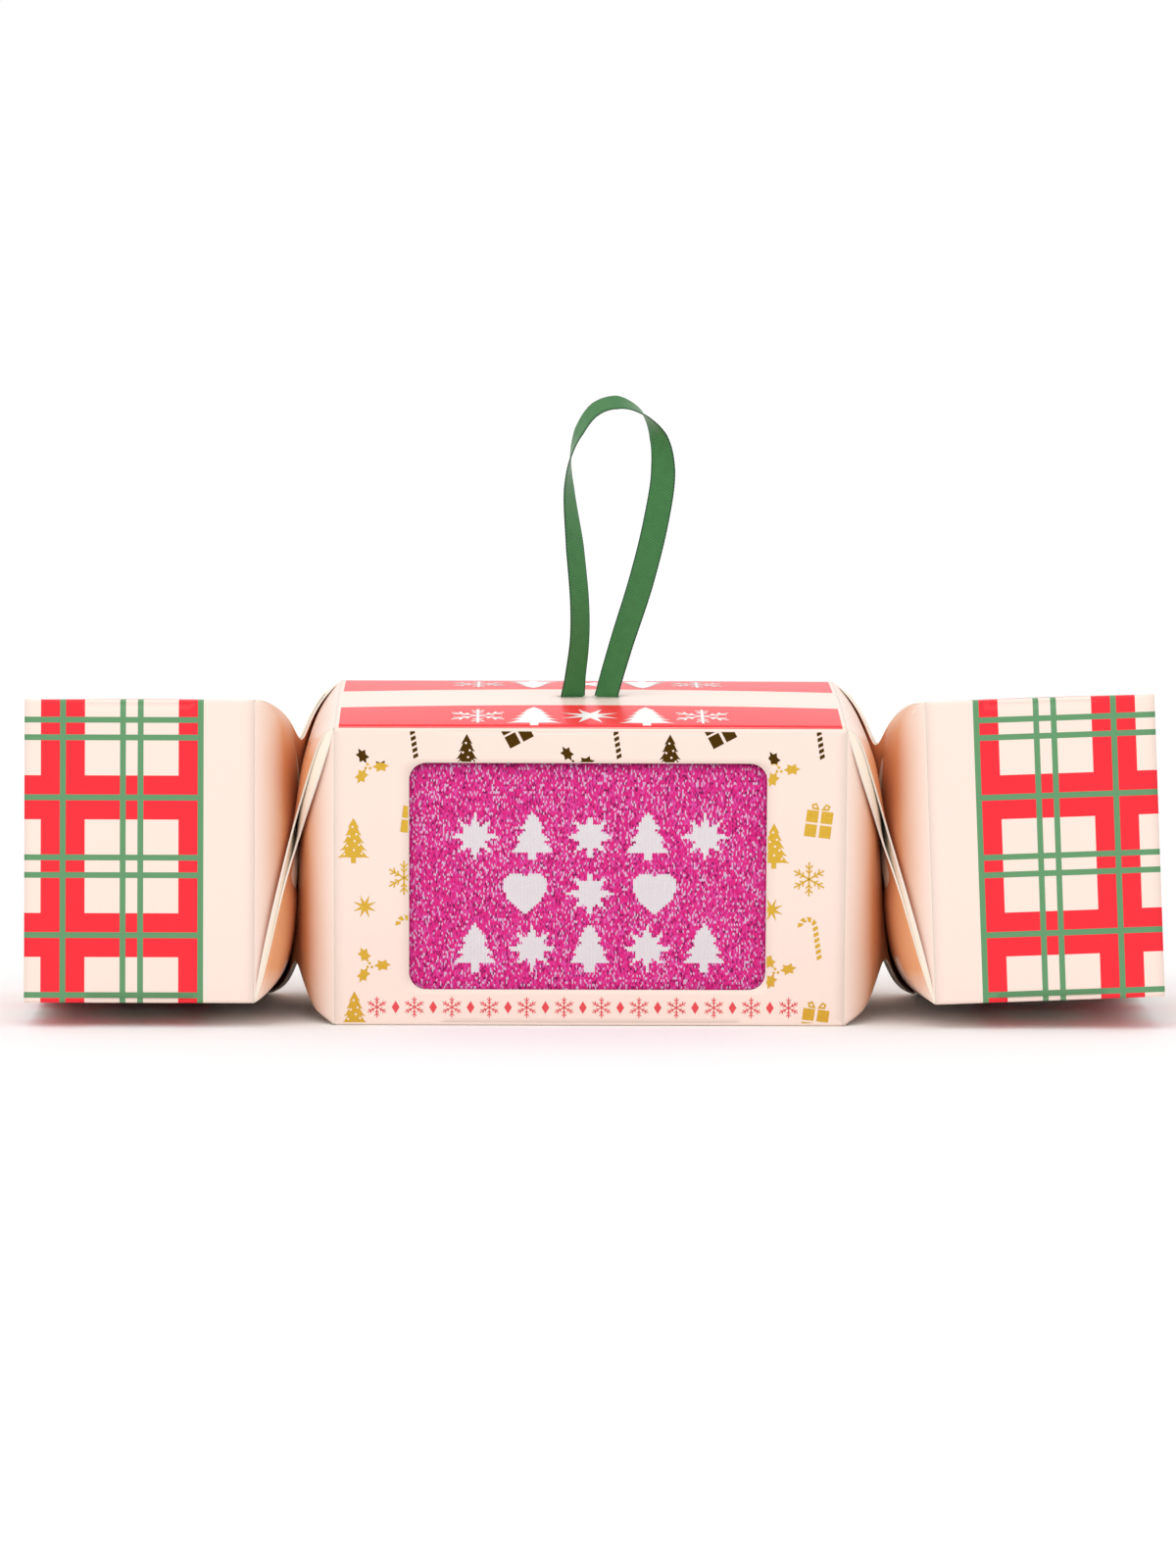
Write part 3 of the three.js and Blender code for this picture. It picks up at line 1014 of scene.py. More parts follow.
@dataclass
class Drawing:
    """Outlines in a plane, in millimetres, each a list of points that needn't be convex."""

    outlines: list = field(default_factory=list)

    def add(self, points: object) -> None:
        """Adds one outline."""
        self.outlines.append(np.asarray(points, float))

    def stroke(self, start: tuple, end: tuple, width: float) -> None:
        """Adds a straight stroke of that width.

        Args:
            start: One end.
            end: The other end.
            width: The width.
        """
        a, b = np.array(start, float), np.array(end, float)
        side = np.array([a[1] - b[1], b[0] - a[0]])
        side *= width / 2 / np.linalg.norm(side)
        self.add([a - side, b - side, b + side, a + side])

    def disc(self, centre: tuple, radius: float, sides: int = 10) -> None:
        """Adds a round dot."""
        angle = np.linspace(0, 2 * math.pi, sides, endpoint=False)
        self.add(np.array(centre) + radius * np.stack([np.cos(angle), np.sin(angle)], -1))

    def placed(self, centre: tuple, turn: float, scale: float = 1.0) -> list:
        """The outlines turned by some degrees, scaled and moved to a centre."""
        return [outline @ turn_flat(turn, scale) + np.array(centre) for outline in self.outlines]

    @classmethod
    def of(cls, ornament: Ornament) -> "Drawing":
        """The drawing of an ornament."""
        return getattr(cls, ornament.value)()

    @classmethod
    def tree(cls) -> "Drawing":
        """A fir as one outline: a trunk and five tiers whose eaves drop to a point on both sides.

        Returns:
            The drawing.
        """
        drawing = cls()
        trunk, ground, lowest, top = 0.55, -5.3, -4.1, 5.3
        pitch, widest, narrower = 1.76, 3.75, 0.62
        eave = ((0.62, 0.2), (1.0, 0.0), (0.8, 0.5), (0.52, 1.7))
        right = [(trunk, ground), (trunk, -4.0)]
        for tier in range(5):
            foot, reach = lowest + pitch * tier, widest - narrower * tier
            right += [(reach * share, foot + up) for share, up in eave]
        right[-1] = (0.0, top)
        drawing.add(right + [(-x, z) for x, z in reversed(right[:-1])])
        return drawing

    @classmethod
    def leaf(cls, centre: tuple, turn: float, length: float) -> np.ndarray:
        """A holly leaf: an oval whose edge is drawn out to six points.

        Args:
            centre: Its middle.
            turn: Its turn, in degrees.
            length: Its length.

        Returns:
            The outline.
        """
        points, notch, narrow = 12, 0.58, 0.36
        angle = np.linspace(0, 2 * math.pi, points, endpoint=False)
        reach = np.where(np.arange(points) % 2 == 0, 1.0, notch)
        oval = np.stack([length / 2 * reach * np.cos(angle), length * narrow * reach * np.sin(angle)], -1)
        return oval @ turn_flat(turn) + np.array(centre)

    @classmethod
    def holly(cls) -> "Drawing":
        """Three leaves round three berries.

        Returns:
            The drawing.
        """
        drawing = cls()
        leaf_length, berry = 4.0, 0.32
        for centre, turn in (((-2.1, 2.1), 118), ((2.1, -0.3), 4), ((-2.3, -2.6), 62)):
            drawing.add(cls.leaf(centre, turn, leaf_length))
        for centre in ((-0.9, 0.15), (-0.35, -0.75), (-1.35, -0.7)):
            drawing.disc(centre, berry)
        return drawing

    @classmethod
    def cane(cls) -> "Drawing":
        """A candy cane as slanting stripes along a straight stem and a half-round hook.

        Returns:
            The drawing.
        """
        drawing = cls()
        hook, stem, width, stripes = 1.75, 8.2, 1.15, 10
        slant, filled = 0.42, 0.62
        length = stem + math.pi * hook
        for stripe in range(stripes):
            start = length * stripe / stripes
            sides = []
            for offset, slip, shares in ((-width / 2, 0.0, (0.0, filled)), (width / 2, slant, (filled, 0.0))):
                for share in shares:
                    sides.append(cls.cane_point(start + slip + share * length / stripes, offset, hook, stem))
            drawing.add(sides)
        return drawing

    @staticmethod
    def cane_point(distance: float, offset: float, hook: float, stem: float) -> tuple:
        """A point beside the line of a cane: straight up the stem, then round the hook.

        Args:
            distance: How far up the cane's line.
            offset: How far to the right of it.
            hook: The radius of the hook.
            stem: The length of the stem.

        Returns:
            The point.
        """
        if distance <= stem:
            return (hook + offset, distance - stem / 2 - hook)
        angle = min((distance - stem) / hook, math.pi)
        return ((hook + offset) * math.cos(angle), stem / 2 - hook + (hook + offset) * math.sin(angle))

    @classmethod
    def gift(cls) -> "Drawing":
        """A parcel: four fields left apart by the ribbon, and a bow of two open loops.

        Returns:
            The drawing.
        """
        drawing = cls()
        ribbon, reach = 0.35, 3.05
        loop = ((0.2, 2.5), (1.9, 2.6), (2.2, 3.7), (1.1, 4.1))
        hole = ((0.9, 2.95), (1.6, 3.0), (1.7, 3.5), (1.2, 3.6))
        for side in (-1, 1):
            for low, high in ((-3.9, -1.0), (-0.5, 2.3)):
                field_corners = ((ribbon, low), (reach, low), (reach, high), (ribbon, high))
                drawing.add([(side * x, z) for x, z in field_corners])
            for first, second in zip(range(4), (1, 2, 3, 0)):
                strip = (loop[first], loop[second], hole[second], hole[first])
                drawing.add([(side * x, z) for x, z in strip])
        return drawing

    @classmethod
    def flake(cls) -> "Drawing":
        """Six arms, each with two pairs of twigs.

        Returns:
            The drawing.
        """
        drawing = cls()
        reach, arm_width, twig_width = 4.0, 0.36, 0.32
        for arm in range(6):
            angle = math.pi / 3 * arm + math.pi / 2
            out = np.array([math.cos(angle), math.sin(angle)])
            drawing.stroke((0, 0), tuple(reach * out), arm_width)
            for root, twig in ((1.4, 1.0), (2.4, 1.2)):
                for lean in (-math.pi / 4, math.pi / 4):
                    way = np.array([math.cos(angle + lean), math.sin(angle + lean)])
                    drawing.stroke(tuple(root * out), tuple(root * out + twig * way), twig_width)
        return drawing

    @classmethod
    def star(cls) -> "Drawing":
        """Eight thin rays as one outline, with no ray upright.

        Returns:
            The drawing.
        """
        drawing = cls()
        waist, tip, points = 0.95, 2.85, 16
        angle = 2 * math.pi / points * (np.arange(points) + 1)
        reach = np.where(np.arange(points) % 2, waist, tip)
        drawing.add(reach[:, None] * np.stack([np.cos(angle), np.sin(angle)], -1))
        return drawing


def trimmed(outline: np.ndarray, axis: int, limit: float, side: int) -> np.ndarray:
    """The part of an outline on one side of a straight cut.

    Args:
        outline: Points (n, 2).
        axis: 0 for a cut at one x, 1 for one at one z.
        limit: Where the cut lies.
        side: 1 keeps what lies above the limit, -1 what lies below.

    Returns:
        The points that are left, none if all of it is cut away.
    """
    kept = []
    for here, there in zip(outline, np.roll(outline, -1, 0)):
        a, b = side * (here[axis] - limit), side * (there[axis] - limit)
        if a >= 0:
            kept.append(here)
        if a * b < 0:
            kept.append(here + (there - here) * a / (a - b))
    return np.array(kept).reshape(-1, 2)


def inlay_patches(outlines: list, tube: Tube, panel: Panel, finish: int, proud: float) -> list[Patch]:
    """Flat outlines laid on a panel, cut into triangles.

    Args:
        outlines: Outlines in places along the tube and across the panel.
        tube: The tube.
        panel: The panel of it.
        finish: The finish number of the faces.
        proud: How far they stand off the board.

    Returns:
        The patches.
    """
    whole = [outline for outline in outlines if len(outline) > 2]
    starts = np.cumsum([0] + [len(outline) for outline in whole])
    flat, faces = np.concatenate(whole), []
    for outline, start in zip(whole, starts):
        for corners in tessellate_polygon([[(x, t, 0.0) for x, t in outline]]):
            (ax, ay), (bx, by) = (outline[corners[k]] - outline[corners[0]] for k in (1, 2))
            ordered = corners if ax * by > ay * bx else corners[::-1]
            faces.append([int(start) + corner for corner in ordered])
    points = tube.on_panel(panel, flat[:, 0], flat[:, 1], proud)
    return [Patch(points, np.stack([flat[:, 0], tube.girth(panel, flat[:, 1])], -1), faces, finish)]


@dataclass
class CentreSleeve:
    """The centre tube: a window in its front, two ribbon slots in its top, its bands and its ornaments."""

    finishes: Finishes
    placement: Placement
    window: tuple = (82.5, 53.3, 4.0)
    window_at: tuple = (-0.5, 0.2)
    slot: tuple = (6.8, 1.4)
    slot_pitch: float = 8.0
    foil_proud: float = 0.04

    # Spacing of the grid lines: close near the panel's ends and creases, and wider between
    fine: float = 0.8
    coarse: float = 2.4
    end_zone: float = 11.0
    crease_zone: float = 8.0
    pitch: float = 3.0
    rings: int = 7

    # Where pictures are cut: inside the panel's ends and outside the window
    end_margin: float = 0.6
    window_margin: float = 0.25
    dot: float = 0.27

    # The white row on each band, and the red row under the window
    band_reach: float = 26.0
    band_scale: float = 1.75
    band_star_scale: float = 2.5
    border_count: int = 23
    border_ends: tuple = (-49.2, 46.2)
    border_up: float = -30.6
    border_flake: float = 0.62
    diamond: tuple = (0.9, 1.5)
    tube: Tube = field(default_factory=lambda: Tube(
        -CENTRE_LENGTH / 2, CENTRE_LENGTH / 2,
        {Panel.TOP: 1.8, Panel.FRONT: 0.35, Panel.BACK: 0.7, Panel.BOTTOM: -0.3}, {Panel.TOP: TOP_END_BOW}))

    # Foil ornaments of the front panel: kind, place along, place up, turn in degrees
    front_foil = (
        (Ornament.HOLLY, -50.4, 26.3, 0), (Ornament.HOLLY, -3.1, 27.2, 6), (Ornament.HOLLY, 44.3, 25.8, 0),
        (Ornament.HOLLY, -50.0, -20.4, 0), (Ornament.HOLLY, 43.9, -21.4, 8),
        (Ornament.CANE, -42.7, 33.4, 8), (Ornament.CANE, 4.1, 33.4, 8), (Ornament.CANE, 50.9, 33.4, 8),
        (Ornament.CANE, 50.7, -13.7, 8), (Ornament.CANE, -42.3, -13.5, 8),
        (Ornament.TREE, -28.5, 28.3, 0), (Ornament.TREE, 18.3, 28.3, 0), (Ornament.TREE, -54.6, 8.6, 0),
        (Ornament.TREE, 42.4, 7.6, 0), (Ornament.TREE, -54.4, -32.2, 0),
        (Ornament.GIFT, -17.6, 35.1, 28), (Ornament.GIFT, 29.2, 35.1, 28), (Ornament.GIFT, -40.3, 14.2, -7),
        (Ornament.GIFT, 52.8, 13.5, -7), (Ornament.GIFT, 52.4, -33.2, -7),
        (Ornament.FLAKE, -42.9, -0.1, 0), (Ornament.FLAKE, 50.6, -0.2, 0),
        (Ornament.STAR, -52.0, -6.9, 0), (Ornament.STAR, 42.0, -7.4, 0),
    )

    # Dots left bare on a fir
    tree_dots = ((-0.2, 3.2), (0.7, 1.5), (-0.9, 1.0), (0.3, -0.1), (-1.5, -1.2), (1.3, -1.0), (0.1, -2.2),
                 (-2.1, -3.2), (1.9, -3.0))

    # One repeat of the same ornaments, spread over the back: kind, place along, place up, turn
    repeat = 46.8
    repeat_from = -50.4
    back_foil = (
        (Ornament.HOLLY, 0.0, 26.3, 0), (Ornament.CANE, 7.7, 33.4, 8), (Ornament.TREE, 21.9, 28.3, 0),
        (Ornament.GIFT, 32.8, 33.1, 28), (Ornament.TREE, -4.8, 8.6, 0), (Ornament.GIFT, 9.7, 13.1, 0),
        (Ornament.STAR, 20.5, 11.0, 0), (Ornament.HOLLY, 31.0, 12.2, 10), (Ornament.FLAKE, 7.0, 0.4, 0),
        (Ornament.CANE, 19.4, -2.6, -8), (Ornament.FLAKE, 30.6, -3.4, 0), (Ornament.STAR, -1.6, -6.9, 0),
        (Ornament.CANE, 6.5, -12.6, 8), (Ornament.TREE, 24.6, -15.4, 0), (Ornament.GIFT, 35.4, -13.8, -20),
        (Ornament.HOLLY, 0.4, -20.4, 0), (Ornament.STAR, 12.8, -24.2, 0), (Ornament.TREE, -4.0, -32.2, 0),
        (Ornament.GIFT, 9.0, -32.4, 0), (Ornament.HOLLY, 22.0, -28.4, 8), (Ornament.FLAKE, 33.6, -26.4, 0),
    )

    def lines_along(self) -> np.ndarray:
        """The grid lines along the tube, closer at its ends and with one at each edge of a slot.

        Returns:
            Their places.
        """
        half_slot, middle, half = self.slot[0] / 2, self.slot_pitch / 2, CENTRE_LENGTH / 2
        marks = [side * (middle + edge) for side in (-1, 1) for edge in (-half_slot, half_slot)]
        inner = half - self.end_zone
        low, high = spaced(-half, -inner, self.fine)[:-1], spaced(inner, half, self.fine)[1:]
        return np.concatenate([low, spaced(-inner, inner, self.coarse, *marks), high])

    def window_panel(self, along: np.ndarray) -> Patch:
        """The front panel as rings that grow evenly from the window's outline to the panel's edge.

        Args:
            along: The grid lines along the tube.

        Returns:
            The patch.
        """
        reach = HALF - FOLD_RADIUS
        inner = reach - self.crease_zone
        rise = np.concatenate([spaced(-reach, -inner, self.fine)[:-1], spaced(-inner, inner, self.coarse),
                               spaced(inner, reach, self.fine)[1:]])
        edge = np.concatenate([
            np.stack([along, np.full(len(along), -reach)], -1)[:-1],
            np.stack([np.full(len(rise), along[-1]), rise], -1)[:-1],
            np.stack([along[::-1], np.full(len(along), reach)], -1)[:-1],
            np.stack([np.full(len(rise), along[0]), rise[::-1]], -1)[:-1]])
        middle = np.array(self.window_at)
        outline = middle + (edge - middle) * rounded_gauge(edge - middle, *self.window)[:, None]
        flat = outline + np.linspace(0, 1, self.rings)[:, None, None] * (edge - outline)
        flat = np.concatenate([flat, flat[:, :1]], 1)
        uv = np.stack([flat[..., 0], self.tube.girth(Panel.FRONT, flat[..., 1])], -1)
        rings = self.tube.on_panel(Panel.FRONT, flat[..., 0], flat[..., 1])
        return grid_patch(rings[::-1], uv[::-1])

    def top_panel(self, along: np.ndarray) -> Patch:
        """The top panel with its two slots left out.

        Args:
            along: The grid lines along the tube.

        Returns:
            The patch.
        """
        reach, half_depth = HALF - FOLD_RADIUS, self.slot[1] / 2
        across = spaced(-reach, reach, self.pitch, -half_depth, half_depth)
        x, t = np.meshgrid((along[1:] + along[:-1]) / 2, (across[1:] + across[:-1]) / 2)
        in_slot = (np.abs(np.abs(x) - self.slot_pitch / 2) < self.slot[0] / 2) & (np.abs(t) < half_depth)
        return self.tube.sheet(Panel.TOP, along, across, ~in_slot)

    def build(self) -> bpy.types.Object:
        """The folded sleeve with its board's thickness.

        Returns:
            The piece.
        """
        along = self.lines_along()
        across = spaced(-HALF + FOLD_RADIUS, HALF - FOLD_RADIUS, self.pitch)
        patches = [self.window_panel(along), self.top_panel(along),
                   self.tube.sheet(Panel.BACK, along, across), self.tube.sheet(Panel.BOTTOM, along, across)]
        patches += [self.tube.crease(panel, along) for panel in Panel]
        sleeve = mesh_piece("centre_carton", patches, self.placement)
        dress(sleeve, self.finishes.banded, self.finishes.inside, self.finishes.edge)
        thicken(sleeve)
        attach(sleeve, "centre")
        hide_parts("centre_sleeve")
        return sleeve

    def cut_to_panel(self, outlines: list, centre: tuple, round_window: bool) -> list:
        """Outlines cut at the panel's creases and ends and, on the front, at the window.

        Beside the window the cut is upright, and above and below it level.

        Args:
            outlines: The outlines.
            centre: The middle of the picture.
            round_window: True for a picture of the front panel.

        Returns:
            What is left of them.
        """
        width, height, _ = self.window
        end = CENTRE_LENGTH / 2 - self.end_margin
        cuts = [(0, -end, 1), (0, end, -1), (1, -HALF + FOLD_RADIUS, 1), (1, HALF - FOLD_RADIUS, -1)]
        if round_window:
            away = np.array(centre) - np.array(self.window_at)
            axis = 0 if abs(away[0]) * height > abs(away[1]) * width else 1
            side = 1 if away[axis] > 0 else -1
            limit = self.window_at[axis] + side * ((width, height)[axis] / 2 + self.window_margin)
            cuts.append((axis, limit, side))
        for axis, limit, side in cuts:
            outlines = [trimmed(outline, axis, limit, side) for outline in outlines if len(outline) > 2]
        return outlines

    def foil(self) -> bpy.types.Object:
        """The gold pictures round the window, and the same in even repeats over the whole back.

        Returns:
            The piece.
        """
        front, back, bare, dots = [], [], [], Drawing()
        for centre in self.tree_dots:
            dots.disc(centre, self.dot, 8)
        for kind, along, up, turn in self.front_foil:
            front += self.cut_to_panel(Drawing.of(kind).placed((along, up), turn), (along, up), True)
            if kind is Ornament.TREE:
                bare += self.cut_to_panel(dots.placed((along, up), turn), (along, up), True)
        for kind, along, up, turn in self.back_foil:
            for count in range(3):
                outlines = Drawing.of(kind).placed((along + count * self.repeat + self.repeat_from, up), turn)
                back += self.cut_to_panel([outline * [1, -1] for outline in outlines], (along, -up), False)
        patches = inlay_patches(front, self.tube, Panel.FRONT, 0, self.foil_proud)
        patches += inlay_patches(back, self.tube, Panel.BACK, 0, self.foil_proud)
        patches += inlay_patches(bare, self.tube, Panel.FRONT, 1, 2 * self.foil_proud)
        return self.printed("foil_pictures", patches, self.finishes.gold, self.finishes.plain)

    def printed(self, name: str, patches: list, *inks: bpy.types.Material) -> bpy.types.Object:
        """Pictures printed on the centre, as one piece that stays with it.

        Args:
            name: The piece's name.
            patches: The pictures' patches.
            inks: Their inks or foils.

        Returns:
            The piece.
        """
        piece = mesh_piece(name, patches, self.placement, weld=0.0)
        dress(piece, *inks)
        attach(piece, "centre")
        return piece

    def band_pictures(self) -> bpy.types.Object:
        """White flakes, firs and a star in the middle of each red band.

        Returns:
            The piece.
        """
        outlines = []
        kinds = (Ornament.FLAKE, Ornament.TREE, Ornament.STAR, Ornament.TREE, Ornament.FLAKE)
        for band, upright in ((-BOX_SIDE / 3, 1), (BOX_SIDE / 3, -1)):
            for place, kind in zip(np.linspace(-self.band_reach, self.band_reach, len(kinds)), kinds):
                scale = self.band_star_scale if kind is Ornament.STAR else self.band_scale
                outlines += [outline * [1, upright] + [place, band]
                             for outline in Drawing.of(kind).placed((0, 0), 0, scale)]
        patches = inlay_patches(outlines, self.tube, Panel.TOP, 0, self.foil_proud)
        return self.printed("band_pictures", patches, self.finishes.white_ink)

    def border(self) -> bpy.types.Object:
        """A row of small red flakes and diamonds under the window.

        Returns:
            The piece.
        """
        outlines, up = [], self.border_up
        wide, high = self.diamond
        for number, place in enumerate(np.linspace(*self.border_ends, self.border_count)):
            if number % 2:
                corners = [(place - wide, up), (place, up - high), (place + wide, up), (place, up + high)]
                outlines.append(np.array(corners))
            else:
                outlines += Drawing.flake().placed((place, up), 0, self.border_flake)
        patches = inlay_patches(outlines, self.tube, Panel.FRONT, 0, self.foil_proud)
        return self.printed("red_border", patches, self.finishes.red_ink)


@dataclass
class EndBox:
    """An end tube with its plaid, its lid with a tuck tongue, and its two dust flaps."""

    side: Side
    finishes: Finishes
    placement: Placement
    flap_width: float = 12.0
    flap_short: float = 4.0
    gap: float = 0.3
    tongue: tuple = (15.0, 5.0, 2.0)
    tongue_corner: float = 5.0
    pitch: float = 2.5
    lid_bow: float = 0.25

    # Points down the lid, round its fold, along its tongue and across it
    lid_points: tuple = (22, 6, 12, 21)

    # The glue flap's distance from the neck, from the front panel's board and from the bottom's
    flap_from: float = 1.0
    flap_behind: float = 0.02
    flap_above: float = 0.1

    # The dust flaps: how far they stand above the bottom and below the top, their length and their slopes
    dust_foot: float = 5.0
    dust_head: float = 1.5
    dust_length: float = 30.0
    dust_slope: float = 6.0

    def __post_init__(self) -> None:
        """Works out which way the tube runs and how its panels bow."""
        bow = {Panel.FRONT: 0.3, Panel.TOP: 0.4, Panel.BACK: 0.3, Panel.BOTTOM: -0.2}
        self.tube = Tube(*sorted((0.0, self.side.value * END_LENGTH)), bow)
        self.plaid = self.finishes.plaid_left if self.side is Side.LEFT else self.finishes.plaid_right

    def out(self, distance: float) -> float:
        """The place along X of a distance from the neck."""
        return self.side.value * distance

    def finish(self, piece: bpy.types.Object, body: str, node: str, print_finish: bpy.types.Material,
               slot: str = "printed_board") -> bpy.types.Object:
        """Dresses a surface, thickens it and hands it to its body.

        Args:
            piece: The surface.
            body: The body that carries it.
            node: The node that it shows.
            print_finish: The finish of its printed side.
            slot: Not used.

        Returns:
            The same piece.
        """
        dress(piece, print_finish, self.finishes.inside, self.finishes.edge)
        thicken(piece)
        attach(piece, f"{self.side.word}_{body}")
        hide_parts(f"{self.side.word}_{node}")
        return piece

    def sleeve(self) -> bpy.types.Object:
        """The tube of four panels and four creases.

        Returns:
            The piece.
        """
        along = spaced(self.tube.start, self.tube.end, self.pitch)
        across = spaced(-HALF + FOLD_RADIUS, HALF - FOLD_RADIUS, self.pitch)
        patches = [self.tube.sheet(panel, along, across) for panel in Panel]
        patches += [self.tube.crease(panel, along) for panel in Panel]
        piece = mesh_piece(f"{self.side.word}_end_carton", patches, self.placement)
        return self.finish(piece, "end", "end_sleeve", self.plaid)

    def glue_flap(self) -> bpy.types.Object:
        """The strip that holds the tube closed, bare board seen only from inside.

        Returns:
            The piece.
        """
        ends = sorted((self.out(self.flap_from), self.out(END_LENGTH - self.flap_short)))
        x, up = np.meshgrid(np.linspace(*ends, 12), np.linspace(0, self.flap_width, 5))
        inside = -HALF + BOARD
        points = np.stack([x, np.full_like(x, inside + self.flap_behind), inside + self.flap_above + up], -1)
        strip = grid_patch(points, np.stack([x, up], -1))
        piece = mesh_piece(f"{self.side.word}_glue_flap", [strip], self.placement)
        dress(piece, self.finishes.inside, self.finishes.inside, self.finishes.edge)
        thicken(piece)
        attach(piece, f"{self.side.word}_end")
        return piece

    def lid(self) -> bpy.types.Object:
        """The closing panel, folded over at its foot into a tongue that narrows inwards.

        The panel hangs from the top crease. The fold at its foot is a quarter arc, and the tongue's
        width falls as a square root towards its rounded corners.

        Returns:
            The piece.
        """
        reach = HALF - BOARD - self.gap
        length, taper, inset = self.tongue
        down, round_fold, inwards, aside = self.lid_points
        drop = np.linspace(reach, -reach + FOLD_RADIUS, down)
        angle = np.linspace(0, math.pi / 2, round_fold)[1:]
        run = np.linspace(FOLD_RADIUS, length, inwards)[1:]
        x = END_LENGTH - np.concatenate([0 * drop, FOLD_RADIUS * (1 - np.cos(angle)), run])
        z = np.concatenate([drop, -reach + FOLD_RADIUS * (1 - np.sin(angle)),
                            -reach + inset * (run - FOLD_RADIUS) / length])
        into_corner = np.clip(run - length + self.tongue_corner, 0, None) / self.tongue_corner
        rounding = self.tongue_corner * (1 - np.sqrt(np.clip(1 - into_corner**2, 0, 1)))
        width = np.concatenate([np.full(len(drop), reach), np.full(len(angle), reach - taper / 2),
                                reach - taper - rounding])
        flat = np.concatenate([[0], np.cumsum(np.hypot(np.diff(x), np.diff(z)))])
        share = np.linspace(-1, 1, aside) * self.side.value
        bow = self.lid_bow * np.clip(1 - (flat / (2 * reach) * 2 - 1) ** 2, 0, 1)[:, None] * (1 - share**2)
        across = width[:, None] * share
        rows = np.stack([self.out(1) * (x[:, None] - bow), across, z[:, None] + 0 * share], -1)
        uv = np.stack([END_LENGTH + flat[:, None] + 0 * share, BOX_SIDE * 1.5 + across], -1)
        piece = mesh_piece(f"{self.side.word}_lid_board", [grid_patch(rows[::-1], uv[::-1])], self.placement)
        return self.finish(piece, "lid", "end_lid", self.plaid)

    def dust_flap(self, name: str, way: int) -> bpy.types.Object:
        """A flap behind the lid, with its free corners cut off.

        Args:
            name: front or back.
            way: -1 for the flap on the front panel, 1 for the one on the back panel.

        Returns:
            The piece.
        """
        inside, slope, shoulder = HALF - BOARD, self.dust_slope, 0.7 * self.dust_slope
        foot, head, edge = -inside + self.dust_foot, inside - self.dust_head, inside - self.gap
        free = edge - self.dust_length
        y = np.array([edge, edge - slope, free + 2.0, free])
        low = np.array([foot, foot, foot + shoulder, foot + slope])
        high = np.array([head, head, head - shoulder, head - slope])
        fine = np.linspace(0, len(y) - 1, 16)
        y, low, high = (np.interp(fine, np.arange(len(y)), values) for values in (y, low, high))
        z = low + np.linspace(0, 1, 12)[:, None] * (high - low)
        outer = END_LENGTH - BOARD - self.gap
        rows = np.stack([np.full_like(z, self.out(outer)), way * y + 0 * z, z], -1)
        ordered = rows[:, ::-1] if self.side.value * way > 0 else rows
        piece = mesh_piece(f"{self.side.word}_flap_board_{name}", [grid_patch(ordered, ordered[..., 1:])],
                           self.placement)
        return self.finish(piece, f"flap_{name}", f"dust_flap_{name}", self.finishes.plain, "raw_board")

    def build(self) -> list:
        """All the pieces of the end."""
        return [self.sleeve(), self.glue_flap(), self.lid(),
                self.dust_flap("front", -1), self.dust_flap("back", 1)]


